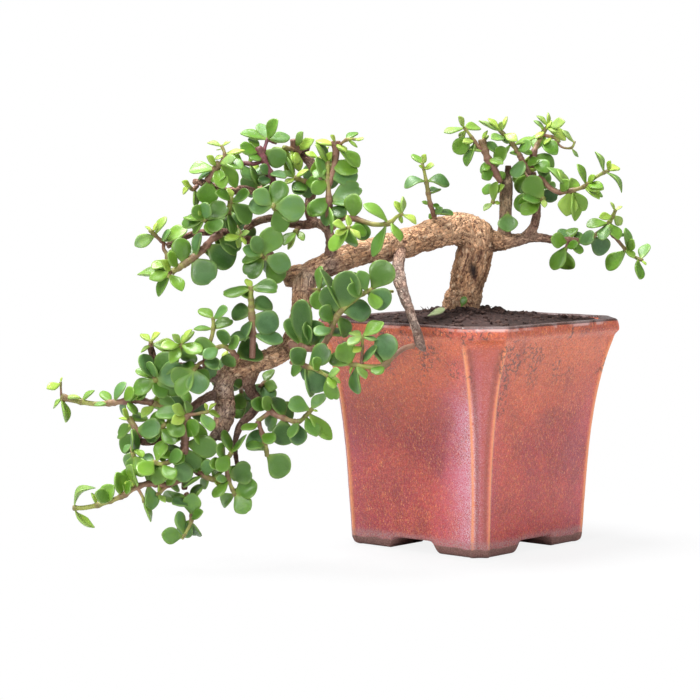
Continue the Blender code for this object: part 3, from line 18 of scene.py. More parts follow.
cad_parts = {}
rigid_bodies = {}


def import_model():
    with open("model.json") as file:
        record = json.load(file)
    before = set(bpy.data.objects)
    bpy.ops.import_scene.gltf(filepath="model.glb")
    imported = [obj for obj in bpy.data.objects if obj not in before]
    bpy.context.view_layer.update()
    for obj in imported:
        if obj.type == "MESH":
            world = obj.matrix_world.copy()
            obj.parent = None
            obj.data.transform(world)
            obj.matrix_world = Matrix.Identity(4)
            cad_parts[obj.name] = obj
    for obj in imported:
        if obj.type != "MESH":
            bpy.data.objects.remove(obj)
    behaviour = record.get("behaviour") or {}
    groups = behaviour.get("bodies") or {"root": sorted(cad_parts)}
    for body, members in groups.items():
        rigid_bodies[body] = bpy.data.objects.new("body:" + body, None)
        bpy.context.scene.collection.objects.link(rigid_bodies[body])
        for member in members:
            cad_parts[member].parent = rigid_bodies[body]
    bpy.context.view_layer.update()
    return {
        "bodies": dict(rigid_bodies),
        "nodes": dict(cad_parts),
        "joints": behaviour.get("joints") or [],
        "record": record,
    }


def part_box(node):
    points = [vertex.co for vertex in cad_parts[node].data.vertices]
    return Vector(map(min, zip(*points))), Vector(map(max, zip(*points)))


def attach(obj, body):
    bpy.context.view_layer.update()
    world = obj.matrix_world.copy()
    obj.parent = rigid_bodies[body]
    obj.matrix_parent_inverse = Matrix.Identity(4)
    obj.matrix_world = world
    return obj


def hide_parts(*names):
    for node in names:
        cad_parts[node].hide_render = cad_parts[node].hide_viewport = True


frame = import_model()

pot_low, pot_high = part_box("pot")
MM = 0.001
POT_AXIS = Vector(((pot_low.x + pot_high.x) / 2, (pot_low.y + pot_high.y) / 2, 0))
print("solids", len(frame["nodes"]), "pot axis", [round(v, 4) for v in POT_AXIS])

# %% [markdown]
# ## Helpers for meshes
#
# Every piece is made in millimetres around the pot's axis, because that is how a potter or a grower
# would measure it. One helper turns such points into a finished piece: it scales them to metres, moves
# them to the pot's place, hands the piece to the frame, and hides the solid it stands for.

# %% Turn points and faces into a piece
def piece_from(name, points, faces, finishes, slot, stands_for, face_finish=None, values=None):
    mesh = bpy.data.meshes.new(name)
    placed = np.asarray(points, float) * MM + np.array(POT_AXIS)
    mesh.from_pydata(placed.tolist(), [], [list(face) for face in faces])
    for finish in finishes:
        mesh.materials.append(finish)
    if face_finish is not None:
        mesh.polygons.foreach_set("material_index", face_finish)
    for key, numbers in (values or {}).items():
        layer = mesh.attributes.new(key, "FLOAT", "POINT")
        layer.data.foreach_set("value", np.asarray(numbers, np.float32))
    mesh.update()
    mesh.shade_smooth()
    piece = bpy.data.objects.new(name, mesh)
    bpy.context.scene.collection.objects.link(piece)
    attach(piece, "root")
    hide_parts(*stands_for)
    return piece


def closed_skin(rows, columns):
    """Quads between rows of points, each a closed ring, and a cap on the first and the last row."""
    faces = []
    for below in range(0, (rows - 1) * columns, columns):
        above = below + columns
        for column in range(columns):
            beside = (column + 1) % columns
            faces.append((below + column, below + beside, above + beside, above + column))
    last = (rows - 1) * columns
    return faces + [tuple(range(columns - 1, -1, -1)), tuple(last + column for column in range(columns))]


def turned(x, y, angle):
    """A place in plan, turned about the pot's axis."""
    return x * math.cos(angle) - y * math.sin(angle), x * math.sin(angle) + y * math.cos(angle)


def spline(p0, p1, p2, p3, t):
    """A smooth curve from p1 to p2, which also heeds the points before and after them."""
    return 0.5 * (2 * p1 + (p2 - p0) * t + (2 * p0 - 5 * p1 + 4 * p2 - p3) * t ** 2
                  + (3 * p1 - p0 - 3 * p2 + p3) * t ** 3)


def mesh_arrays(mesh):
    """A mesh's points, its normals and its faces."""
    count = len(mesh.vertices)
    points, normals = np.empty(count * 3), np.empty(count * 3)
    mesh.vertices.foreach_get("co", points)
    mesh.vertices.foreach_get("normal", normals)
    faces = [tuple(polygon.vertices) for polygon in mesh.polygons]
    return points.reshape(-1, 3), normals.reshape(-1, 3), faces


print("a closed skin of 3 rows of 4 points has", len(closed_skin(3, 4)), "faces")


def fbm(x, y, z, octaves=3):
    """Layered noise from about -1 to 1, for one point in units of the largest feature."""
    total, weight = 0.0, 1.0
    for octave in range(octaves):
        step = 2 ** octave
        total += weight * noise.noise((x * step, y * step, z * step))
        weight *= 0.5
    return total


def smooth(low, high, value):
    share = min(1.0, max(0.0, (value - low) / (high - low)))
    return share * share * (3 - 2 * share)


# %% [markdown]
# ## Shared effects as node groups
#
# Glaze, bark, soil and leaves all need the same few things: a soft cloudy mask, fine flecks, and ragged
# flakes. Each is a node group with named inputs, built once and placed in each material with its own
# values. A group gives out only masks, so the shader itself stays in the material.

# %% A small tool for node trees
class Nodes:
    """Adds nodes to a tree and links them by name."""

    def __init__(self, tree):
        self.tree = tree

    def add(self, kind, settings=None, **inputs):
        node = self.tree.nodes.new(kind)
        for key, value in (settings or {}).items():
            setattr(node, key, value)
        for key, value in inputs.items():
            socket = self.socket(node.inputs, key)
            self.put(socket, value)
        return node

    @staticmethod
    def socket(sockets, key):
        if key.startswith("at_"):
            return sockets[int(key[3:])]
        return sockets[key.replace("_", " ")]

    def put(self, socket, value):
        if hasattr(value, "is_output"):
            self.tree.links.new(value, socket)
        elif isinstance(value, (tuple, list)) and len(value) == 3 and socket.type == "RGBA":
            socket.default_value = (*value, 1.0)
        else:
            socket.default_value = value

    def maths(self, operation, a, b=0.0):
        node = self.add("ShaderNodeMath", {"operation": operation}, at_0=a, at_1=b)
        return node.outputs[0]

    def mix(self, share, a, b):
        node = self.add("ShaderNodeMix", {"data_type": "RGBA"}, at_0=share, at_6=a, at_7=b)
        return node.outputs[2]

    def product(self, a, b):
        return self.maths("MULTIPLY", a, b)

    def total(self, a, b):
        return self.maths("ADD", a, b)

    def rest(self, value, whole=1.0):
        """What the value leaves of the whole."""
        return self.maths("SUBTRACT", whole, value)

    def over(self, under, mask, share, colour):
        """The colour laid over the one under it where the mask is, and by no more than the share."""
        return self.mix(self.product(mask, share), under, colour)

    def shaded(self, colour, value):
        """The colour made lighter or darker by a number."""
        node = self.add("ShaderNodeMix", {"data_type": "RGBA", "blend_type": "MULTIPLY"},
                        at_0=1.0, at_6=colour, at_7=value)
        return node.outputs[2]

    def between(self, value, low, high):
        """A mask that rises smoothly from 0 at low to 1 at high."""
        node = self.add("ShaderNodeMapRange", {"interpolation_type": "SMOOTHSTEP"},
                        Value=value, From_Min=low, From_Max=high)
        return node.outputs[0]

    def noise(self, vector, scale, detail=3.0, roughness=0.55):
        node = self.add("ShaderNodeTexNoise", None,
                        Vector=vector, Scale=scale, Detail=detail, Roughness=roughness)
        return node.outputs["Fac"]

    def stirred(self, vector, scale, reach):
        """Places pushed about by noise, so that a regular pattern turns ragged."""
        push = self.add("ShaderNodeTexNoise", None, Vector=vector, Scale=scale).outputs["Color"]
        push = self.add("ShaderNodeVectorMath", {"operation": "SCALE"}, at_0=push, Scale=reach).outputs[0]
        return self.add("ShaderNodeVectorMath", {"operation": "ADD"}, at_0=vector, at_1=push).outputs[0]

    def voronoi(self, feature, vector, scale):
        return self.add("ShaderNodeTexVoronoi", {"feature": feature}, Vector=vector, Scale=scale).outputs

    def attribute(self, name):
        return self.add("ShaderNodeAttribute", {"attribute_name": name}).outputs["Fac"]

    def place(self):
        return self.add("ShaderNodeTexCoord").outputs["Object"]

    def stretched(self, vector, scale):
        return self.add("ShaderNodeMapping", None, Vector=vector, Scale=scale).outputs[0]

    def group(self, tree, **inputs):
        node = self.add("ShaderNodeGroup", {"node_tree": tree})
        for key, value in inputs.items():
            self.put(node.inputs[key.replace("_", " ")], value)
        return node.outputs

    def bump(self, height, distance, strength=1.0):
        node = self.add("ShaderNodeBump", None, Height=height, Distance=distance, Strength=strength)
        return node.outputs[0]


def new_group(name, inputs, outputs):
    tree = bpy.data.node_groups.new(name, "ShaderNodeTree")
    for key, kind, value in inputs:
        socket = tree.interface.new_socket(key, in_out="INPUT", socket_type=kind)
        if value is not None:
            socket.default_value = value
    for key, kind in outputs:
        tree.interface.new_socket(key, in_out="OUTPUT", socket_type=kind)
    nodes = Nodes(tree)
    return tree, nodes, nodes.add("NodeGroupInput").outputs, nodes.add("NodeGroupOutput").inputs


def new_material(name):
    made = bpy.data.materials.new(name)
    made.use_nodes = True
    nodes = Nodes(made.node_tree)
    return made, nodes, made.node_tree.nodes["Principled BSDF"]


def finish_shader(nodes, shader, linked, fixed):
    for key, value in {**linked, **fixed}.items():
        nodes.put(shader.inputs[key], value)


# %% [markdown]
# Clouds are smooth noise, cut off softly at two levels. Flecks are finer noise, cut off higher up. Flakes
# are Voronoi cells with stirred borders, which suits bark and the grain of a glaze.

# %% Clouds, flecks and flakes
def make_cloud_group():
    tree, nodes, given, out = new_group(
        "Cloudy mask",
        [("Place", "NodeSocketVector", None), ("Scale", "NodeSocketFloat", 40.0),
         ("Low", "NodeSocketFloat", 0.4), ("High", "NodeSocketFloat", 0.6)],
        [("Mask", "NodeSocketFloat")])
    cloud = nodes.noise(given["Place"], given["Scale"], detail=4.0)
    nodes.put(out["Mask"], nodes.between(cloud, given["Low"], given["High"]))
    return tree


def make_fleck_group():
    tree, nodes, given, out = new_group(
        "Fine flecks",
        [("Place", "NodeSocketVector", None), ("Scale", "NodeSocketFloat", 600.0),
         ("Cover", "NodeSocketFloat", 0.4)],
        [("Mask", "NodeSocketFloat"), ("Height", "NodeSocketFloat")])
    grain = nodes.noise(given["Place"], given["Scale"], detail=2.0, roughness=0.7)
    edge = nodes.rest(nodes.product(given["Cover"], 0.4), 0.72)
    nodes.put(out["Mask"], nodes.between(grain, edge, nodes.total(edge, 0.09)))
    nodes.put(out["Height"], grain)
    return tree


def make_flake_group():
    """Ragged cells: a shade of its own for each, the dark gaps between them, and their height."""
    tree, nodes, given, out = new_group(
        "Ragged flakes",
        [("Place", "NodeSocketVector", None), ("Scale", "NodeSocketFloat", 500.0),
         ("Ragged", "NodeSocketFloat", 0.001)],
        [("Shade", "NodeSocketFloat"), ("Gap", "NodeSocketFloat"), ("Height", "NodeSocketFloat")])
    bent = nodes.stirred(given["Place"], nodes.product(given["Scale"], 1.3), given["Ragged"])
    cell = nodes.voronoi("F1", bent, given["Scale"])["Color"]
    shade = nodes.add("ShaderNodeSeparateXYZ", None, Vector=cell).outputs[0]
    edge = nodes.voronoi("DISTANCE_TO_EDGE", bent, given["Scale"])["Distance"]
    nodes.put(out["Shade"], shade)
    nodes.put(out["Gap"], nodes.rest(nodes.between(edge, 0.0, 0.16)))
    nodes.put(out["Height"], nodes.product(nodes.between(edge, 0.0, 0.25),
                                         nodes.total(0.4, nodes.product(shade, 0.6))))
    return tree


CLOUD = make_cloud_group()
FLECKS = make_fleck_group()
FLAKES = make_flake_group()
print("node groups", [group.name for group in bpy.data.node_groups])


def clouds(n, place, scale, low=0.4, high=0.6):
    return n.group(CLOUD, Place=place, Scale=scale, Low=low, High=high)["Mask"]


def flecks(n, place, scale, cover):
    return n.group(FLECKS, Place=place, Scale=scale, Cover=cover)


def flakes(n, place, scale, ragged):
    return n.group(FLAKES, Place=place, Scale=scale, Ragged=ragged)

# %% [markdown]
# ## The pot's shape
#
# The real pot is slip-cast or pressed stoneware: square in plan, walls that curve outwards to the rim,
# and at each corner a sunk panel between two ribs, which grows wider towards the top. It could be a
# subdivided box, but its section changes all the way up, so a loft through many sections is simpler: one
# function draws the section at any height, and rows of quads join them. The outside, the rim and the
# inside are one loft, so the wall has its true thickness.

# %% Pot dimensions and section
POT_TURN = math.radians(48.9)
POT_HEIGHT = 141.2
RIM_HALF = 75.0
BASE_HALF = 53.3
BASE_FLARE = 6.4
WALL_SWEEP = 3.8
LIP_HEIGHT = 7.5
LIP_STEP = 1.2
WALL = 5.0
FLOOR_TOP = 14.0
FOOT_HEIGHT = 7.5
CORNER_FOOT = 6.3
CORNER_RIM = 27.2
RIB_WIDTH = 4.0
RIB_RISE = 1.0
LIP_FOOT = POT_HEIGHT - LIP_HEIGHT


def wall_half(z):
    """Half the width across the flats of the outer wall at height z."""
    share = min(1, z / LIP_FOOT)
    step = LIP_STEP * smooth(LIP_FOOT - 3.5, LIP_FOOT + 2.0, z)
    sweep = RIM_HALF - LIP_STEP - BASE_HALF - BASE_FLARE
    return BASE_HALF + BASE_FLARE * share + sweep * share ** WALL_SWEEP + step


def corner_width(z):
    return CORNER_FOOT + (CORNER_RIM - CORNER_FOOT) * (min(z, POT_HEIGHT) / POT_HEIGHT) ** 3.2


def corner_section(half, cant, sink, rise):
    """One corner of the section, from one flat side to the next: rib, sunk panel, rib."""
    flute = half - cant / 2 - sink / math.sqrt(2)
    deep = 0.72 * sink / math.sqrt(2)
    return [
        (half, half - cant - RIB_WIDTH - 2.0), (half + 0.12 * rise, half - cant - RIB_WIDTH),
        (half + rise, half - cant - RIB_WIDTH * 0.55), (half + 0.8 * rise, half - cant - RIB_WIDTH * 0.25),
        (half - 0.25 * sink, half - cant),
        (half - cant * 0.22 - deep, half - cant * 0.78 - deep), (flute, flute),
    ]


def section_points(half, cant, sink, rise, side_steps=18):
    """The whole section in the pot's own plan, as one closed ring."""
    near = corner_section(half, cant, sink, rise)
    corner = near + [(y, x) for x, y in near[-2::-1]]
    rounded = []
    for i in range(len(corner) - 1):
        before, after = corner[max(0, i - 1)], corner[min(len(corner) - 1, i + 2)]
        for step in range(3):
            ways = zip(before, corner[i], corner[i + 1], after)
            rounded.append(tuple(spline(*way, step / 3) for way in ways))
    last = corner[-1]
    ring = []
    for quarter in range(4):
        turn = math.radians(90 * quarter)
        cos, sin = round(math.cos(turn)), round(math.sin(turn))
        points = rounded + [(last[0] - 2 * last[0] * i / side_steps, last[1]) for i in range(side_steps)]
        ring += [(x * cos - y * sin, x * sin + y * cos) for x, y in points]
    return ring


print("points in a section of the pot", len(section_points(RIM_HALF, CORNER_RIM, 1.0, RIB_RISE)))

# %% [markdown]
# The profile is a list of heights with how far in from the wall each ring stands. It climbs the outside,
# rolls over the rim, goes down the inside and closes on the floor. The ribs and the panel fade just
# under the lip, where the mould's panel ends in a soft arch.

# %% Loft the pot
def pot_rings():
    rings = []
    foot_roll = {0.0: 2.6, 0.5: 1.5, 1.4: 0.6, 3.0: 0.12}
    rim_roll = {POT_HEIGHT - drop: inset for drop, inset in
                ((2.5, 0.0), (1.3, 0.15), (0.6, 0.45), (0.15, 0.95), (0.0, 1.7))}
    wall = [float(z) for z in np.linspace(5, LIP_FOOT - 4, 64)]
    lip = [LIP_FOOT - 3 + 0.6 * i for i in range(10)]
    insets = {**foot_roll, **dict.fromkeys(wall + lip, 0.0), **rim_roll}
    for z, inset in insets.items():
        fade = 1 - smooth(LIP_FOOT - 8, LIP_FOOT + 0.5, z)
        sink = (0.8 + 2.4 * min(1, z / LIP_FOOT) ** 2) * fade + 0.3 * (1 - fade)
        cant = corner_width(z) / math.sqrt(2)
        rings.append((section_points(wall_half(z) - inset, cant, sink, RIB_RISE * fade), z))
    inside = [
        (POT_HEIGHT, 3.4), (POT_HEIGHT - 0.25, 4.2), (POT_HEIGHT - 0.9, 4.8), (LIP_FOOT, WALL), (110, WALL),
        (80, WALL), (45, WALL), (FLOOR_TOP + 3, WALL), (FLOOR_TOP + 0.6, WALL + 1), (FLOOR_TOP, WALL + 3),
    ]
    for z, inset in inside:
        half = wall_half(min(z, LIP_FOOT - 2)) + (LIP_STEP if z > LIP_FOOT else 0.2) - inset
        cant = corner_width(min(z, LIP_FOOT)) / math.sqrt(2) + 3.0
        rings.append((section_points(half, cant, 0.02, 0.0), z))
    return rings


def arch_cutter(quarter):
    """A long prism under the floor, with sloping sides and soft upper corners."""
    outline = [(20.5, -1), (20.0, 0), (17.2, 4.6), (16.2, 6.2), (14.8, 7.2), (12.6, FOOT_HEIGHT)]
    outline += [(-x, z) for x, z in outline[::-1]]
    points = [(*turned(reach, y, math.radians(90 * quarter)), z) for reach in (-150, 150) for y, z in outline]
    return helper_object(f"arch_cutter_{quarter}", skin_mesh(points, closed_skin(2, len(outline))))


def skin_mesh(points, faces):
    bm = bmesh.new()
    verts = [bm.verts.new(point) for point in points]
    for face in faces:
        bm.faces.new([verts[i] for i in face])
    bmesh.ops.recalc_face_normals(bm, faces=bm.faces)
    return bm


def helper_object(name, bm):
    mesh = bpy.data.meshes.new(name)
    bm.to_mesh(mesh)
    bm.free()
    made = bpy.data.objects.new(name, mesh)
    bpy.context.scene.collection.objects.link(made)
    return made


def evaluated_mesh(thing):
    graph = bpy.context.evaluated_depsgraph_get()
    return bpy.data.meshes.new_from_object(thing.evaluated_get(graph))


def cut_pot():
    rings = pot_rings()
    points = [(x, y, z) for ring, z in rings for x, y in ring]
    body = helper_object("pot_blank", skin_mesh(points, closed_skin(len(rings), len(rings[0][0]))))
    drain = bmesh.new()
    bmesh.ops.create_cone(drain, cap_ends=True, segments=32, radius1=6, radius2=6, depth=3 * FLOOR_TOP)
    cutters = [arch_cutter(0), arch_cutter(1), helper_object("drain_cutter", drain)]
    for cutter in cutters:
        modifier = body.modifiers.new(cutter.name, "BOOLEAN")
        modifier.operation = "DIFFERENCE"
        modifier.solver = "EXACT"
        modifier.object = cutter
    mesh = evaluated_mesh(body)
    for helper in cutters + [body]:
        bpy.data.objects.remove(helper)
    return mesh


# %% [markdown]
# A fired glaze is never quite flat: it pools in the panel and wavers over the wall by a tenth of a
# millimetre, which is what breaks up its reflections. That is done in the mesh. Each point also keeps
# two numbers for the finish, how near it is to a rib, where glaze runs thin, and how near to the corner.

# %% Make the pot piece
def make_pot(finish):
    local, normal, faces = mesh_arrays(cut_pot())
    values = {key: np.zeros(len(local)) for key in ("rib", "groove", "panel", "bloom", "seam", "outside")}
    for i, (x, y, z) in enumerate(local):
        u, v = max(abs(x), abs(y)), min(abs(x), abs(y))
        half, cant = wall_half(z), corner_width(z) / math.sqrt(2)
        on_face = smooth(half - 4.5, half - 1.5, max(u, (u + v + cant) / 2))
        fade = 1 - smooth(LIP_FOOT - 9, LIP_FOOT - 1, z)
        right_end = v * math.copysign(1, x * y) * (1 if abs(x) > abs(y) else -1)
        values["outside"][i] = on_face
        values["rib"][i] = on_face * fade * math.exp(-((v - (half - cant - 0.5 * RIB_WIDTH)) / 1.3) ** 2)
        values["groove"][i] = on_face * fade * math.exp(-((v - (half - cant + 0.2)) / 0.7) ** 2)
        values["panel"][i] = on_face * fade * smooth(half - cant - 0.4, half - cant + 1.2, v)
        # This share near one corner of each side places the magenta bloom and also its painted reflection.
        spread = (0.35 if abs(y) > abs(x) else 1.0) * smooth(half - cant - 42, half - cant, right_end)
        spread += 0.35 * smooth(half - cant - 18, half - cant, -right_end)
        values["bloom"][i] = on_face * min(1, spread)
        if y < -abs(x):
            beside_rib = math.exp(-((right_end + half - cant - 8.0) / 4.5) ** 2)
            values["seam"][i] = on_face * beside_rib * smooth(78, 90, z) * (1 - smooth(116, 126, z))
        lift = 0.16 * fbm(x / 16, y / 16, z / 22, 2) + 0.05 * noise.noise((x / 3, y / 3, z / 3))
        local[i] += normal[i] * lift * on_face * smooth(3, 9, z)
    spun = np.stack([*turned(local[:, 0], local[:, 1], POT_TURN), local[:, 2]], axis=1)
    values["height"] = local[:, 2]
    pot = piece_from("glazed_pot", spun, faces, [finish], "glaze", ["pot"], values=values)
    print("pot", len(faces), "faces, box in mm", [round(v / MM) for v in pot.dimensions])


# %% [markdown]
# ## The pot's finish
#
# It is a red-brown glaze over dark clay, and it changes over the wall as such glazes do. It is orange
# where it runs thin, on the ribs and towards the rim, and deep red where it is thick. At one end of each
# side it blooms magenta under a dust of pale lavender dots. That magenta is partly the glaze's own and
# partly a painted reflection of the lamps, strongest low down near the corner. Fine orange flecks run a
# little downwards all over, iron has broken through in dark specks under the rim, and the feet are bare
# clay. Each of these is a mask, and the masks are laid over the red one by one.

# %% Glaze colours
def dots(n, place, scale, size, share):
    """Crisp round dots, one in each cell of the pattern for a share of the cells."""
    cell = n.voronoi("F1", place, scale)
    chosen = n.add("ShaderNodeSeparateXYZ", None, Vector=cell["Color"]).outputs[0]
    round_dot = n.rest(n.between(cell["Distance"], size, size + 0.12))
    return n.product(round_dot, n.between(n.total(chosen, share), 0.98, 1.02))


def glaze_body(n, place, height):
    """Red that warms towards the rim, darker in patches, with fine orange flecks."""
    cloud = clouds(n, place, 20.0)
    deep = clouds(n, n.stretched(place, (1.0, 1.0, 0.7)), 38.0, 0.48, 0.72)
    fleck = flecks(n, n.stretched(place, (1.0, 1.0, 0.5)), 1000.0, 0.5)
    coarse = flecks(n, n.stretched(place, (1.0, 1.0, 0.4)), 520.0, 0.34)
    red = n.mix(cloud, (0.32, 0.027, 0.029), (0.48, 0.060, 0.031))
    red = n.over(red, n.between(height, 60.0, 132.0), 0.75, (0.60, 0.14, 0.05))
    low = n.rest(n.between(height, 15.0, 95.0))
    red = n.over(red, low, 0.45, (0.38, 0.042, 0.070))
    red = n.over(red, deep, 0.65, (0.20, 0.022, 0.022))
    on_lip = n.between(height, LIP_FOOT - 1.0, LIP_FOOT + 1.5)
    red = n.over(red, on_lip, 0.5, (0.33, 0.075, 0.055))
    red = n.over(red, fleck["Mask"], 0.38, (0.72, 0.22, 0.06))
    red = n.over(red, coarse["Mask"], 0.28, (0.74, 0.26, 0.07))
    grain = flakes(n, place, 900.0, 0.0012)
    red = n.shaded(red, n.total(0.8, n.product(grain["Shade"], 0.4)))
    run = dots(n, n.stretched(place, (1.0, 1.0, 0.55)), 800.0, 0.2, 0.45)
    run = n.product(run, clouds(n, place, 130.0))
    return n.mix(n.product(run, 0.75), red, (0.85, 0.36, 0.12)), fleck


def glaze_bloom_and_painted_reflection(n, place, height, colour):
    """Magenta tint, partly the glaze's own and partly a painted reflection, and lavender dust, at one end of
    each side and in the lower part of the corner panels.
    """
    dust = flecks(n, place, 1700.0, 0.66)
    patch = clouds(n, place, 60.0, 0.36, 0.66)
    low = n.rest(n.between(height, 84.0, 130.0))
    bloom_and_reflection_share = n.product(n.attribute("bloom"), n.total(0.12, n.product(low, 0.88)))
    tint = n.product(bloom_and_reflection_share, n.total(0.4, n.product(patch, 0.6)))
    # Painted reflection: the magenta tint is lightest low down near the corner, partly the glaze's own colour
    # and partly a painted reflection of the lamps.
    colour = n.over(colour, tint, 0.9, (0.62, 0.115, 0.19))
    panel = n.attribute("panel")
    colour = n.over(colour, panel, 0.65, (0.36, 0.08, 0.07))
    faces_only = n.rest(n.product(panel, 0.85))
    thick = n.maths("POWER", bloom_and_reflection_share, 3.0)
    share = n.total(0.03, n.product(thick, n.product(faces_only, 0.85)))
    share = n.total(share, n.product(n.product(panel, low), 0.08))
    colour = n.mix(n.product(share, dust["Mask"]), colour, (0.66, 0.47, 0.54))
    white = n.product(dots(n, place, 900.0, 0.2, 0.5), n.total(0.08, n.product(share, 0.9)))
    return n.mix(white, colour, (0.86, 0.76, 0.82)), dust


def iron_specks(n, place, height):
    """Small dark spots: a few all over, and crowds of them under the rim."""
    bent = n.stirred(place, 500.0, 0.0022)
    crowd = n.voronoi("DISTANCE_TO_EDGE", bent, 330.0)["Distance"]
    broken = n.between(n.noise(place, 420.0), 0.46, 0.52)
    lone = n.voronoi("F1", place, 260.0)["Distance"]
    where = clouds(n, place, 62.0, 0.54, 0.58)
    where = n.product(where, n.between(height, 92.0, 116.0))
    where = n.maths("MAXIMUM", where, n.between(n.attribute("seam"), 0.35, 0.6))
    crowd = n.product(n.rest(n.between(crowd, 0.09, 0.15)), n.product(broken, where))
    return n.maths("MAXIMUM", crowd, n.rest(n.between(lone, 0.07, 0.11)))


# %% [markdown]
# The shader takes the colour with the thin glaze of the ribs, the specks, the bare feet and the rim laid
# over it: a dark iron line on the rim's top and painted glints of light on its outer edge. The dust makes
# the glaze rougher, so it shines less where it blooms.

# %% Glaze material
def make_glaze():
    made, n, shader = new_material("red_brown_glaze")
    place, height = n.place(), n.attribute("height")
    colour, fleck = glaze_body(n, place, height)
    colour, dust = glaze_bloom_and_painted_reflection(n, place, height, colour)
    thin = n.product(n.attribute("rib"), n.total(0.5, fleck["Height"]))
    colour = n.mix(thin, colour, (0.80, 0.30, 0.135))
    colour = n.over(colour, n.attribute("groove"), 0.6, (0.20, 0.05, 0.035))
    foot_line = n.total(height, n.product(n.noise(place, 120.0), 3.0))
    roll = n.product(n.rest(n.between(foot_line, 9.0, 13.5)),
                   n.total(0.25, n.product(dust["Mask"], 0.6)))
    colour = n.mix(roll, colour, (0.36, 0.22, 0.22))
    specks = n.product(iron_specks(n, place, height), n.rest(n.attribute("panel")))
    colour = n.over(colour, specks, 0.75, (0.07, 0.045, 0.04))
    bare_foot = n.rest(n.between(foot_line, 6.4, 7.4))
    inner = n.rest(n.attribute("outside"))
    below = n.product(inner, n.rest(n.between(height, 12.0, 13.0)))
    bare = n.maths("MAXIMUM", bare_foot, below)
    colour = n.mix(bare, colour, n.mix(dust["Mask"], (0.155, 0.068, 0.056), (0.25, 0.13, 0.11)))
    wear_and_glint_patches = clouds(n, place, 85.0)
    # Painted highlight: pale glints of light on the rim's outer edge, in patches. The same patches vary the
    # dark iron on the rim's top.
    painted_rim_glints = n.product(n.between(height, POT_HEIGHT - 3.6, POT_HEIGHT - 2.2), n.maths("POWER", wear_and_glint_patches, 2.0))
    colour = n.over(colour, painted_rim_glints, 0.7, (0.66, 0.44, 0.42))
    rim_top = n.between(height, POT_HEIGHT - 1.7, POT_HEIGHT - 1.1)
    colour = n.over(colour, rim_top, 0.9, n.mix(wear_and_glint_patches, (0.020, 0.014, 0.014), (0.08, 0.06, 0.06)))
    rough = n.total(0.26, n.product(dust["Mask"], 0.16))
    rough = n.maths("MAXIMUM", rough, n.product(bare, 0.72))
    skin = n.total(n.product(dust["Height"], 0.4), n.product(fleck["Height"], 0.5))
    skin = n.rest(n.product(specks, 0.8), skin)
    finish_shader(n, shader, {"Base Color": colour, "Roughness": rough, "Normal": n.bump(skin, 0.00022, 0.6)},
                  {"Specular IOR Level": 0.45, "Coat Weight": 0.2, "Coat Roughness": 0.12})
    return made


make_pot(make_glaze())

# %% [markdown]
# ## The soil
#
# Potting soil is a crumbly dark mix that was heaped against the trunk. A height map gives the heap and
# its lumps, and loose crumbs and a few fibres lie on top as real geometry, because a bump alone would
# leave the skyline smooth.

# %% Soil surface
SOIL_EDGE = 139.7
SOIL_CROWN = 149.0
ROOT_AT = (-4.5, 0.0)
GAP = 0.3
HEAP_RINGS = 59
HEAP_END = 0.985


def soil_ring(z, inset):
    height = min(z, LIP_FOOT)
    half = wall_half(min(height, LIP_FOOT - 2)) + 0.1 - WALL - inset
    cant = corner_width(height) / math.sqrt(2) + 3.4
    return [turned(x, y, POT_TURN) for x, y in section_points(half, cant, 0.02, 0.0)]


def towards_root(x, y, share):
    return x + (ROOT_AT[0] - x) * share, y + (ROOT_AT[1] - y) * share


def soil_level(x, y, share):
    heap = SOIL_EDGE + (SOIL_CROWN - SOIL_EDGE) * share ** 1.5
    lumps = 1.3 * fbm(x / 9, y / 9, 3.0, 3) + 0.8 * abs(noise.noise((x / 2.2, y / 2.2, 7.0)))
    return heap + lumps * smooth(0, 0.06, share)


def make_soil(finish):
    edge = soil_ring(SOIL_EDGE, GAP)
    points = []
    for z in (FLOOR_TOP + 0.4, 60, 100, 125, 134):
        points += [(x, y, z) for x, y in soil_ring(z, GAP)]
    for ring in range(HEAP_RINGS):
        share = HEAP_END * (ring / (HEAP_RINGS - 1))
        for corner in edge:
            x, y = towards_root(*corner, share)
            points.append((x, y, soil_level(x, y, share)))
    faces = closed_skin(len(points) // len(edge), len(edge))
    values = {"tone": np.zeros(len(points))}
    piece_from("potting_soil", points, faces, [finish], "potting_mix", ["soil"], values=values)
    print("soil", len(faces), "faces")


# %% [markdown]
# Each crumb is the same small ball, stretched, turned and dented by random numbers. Their seed is fixed,
# so the heap stays the same. Now and then a lump is drawn out into a fibre of bark.

# %% Loose crumbs and fibres
CRUMBS = 900
FIBRE_EVERY = 9


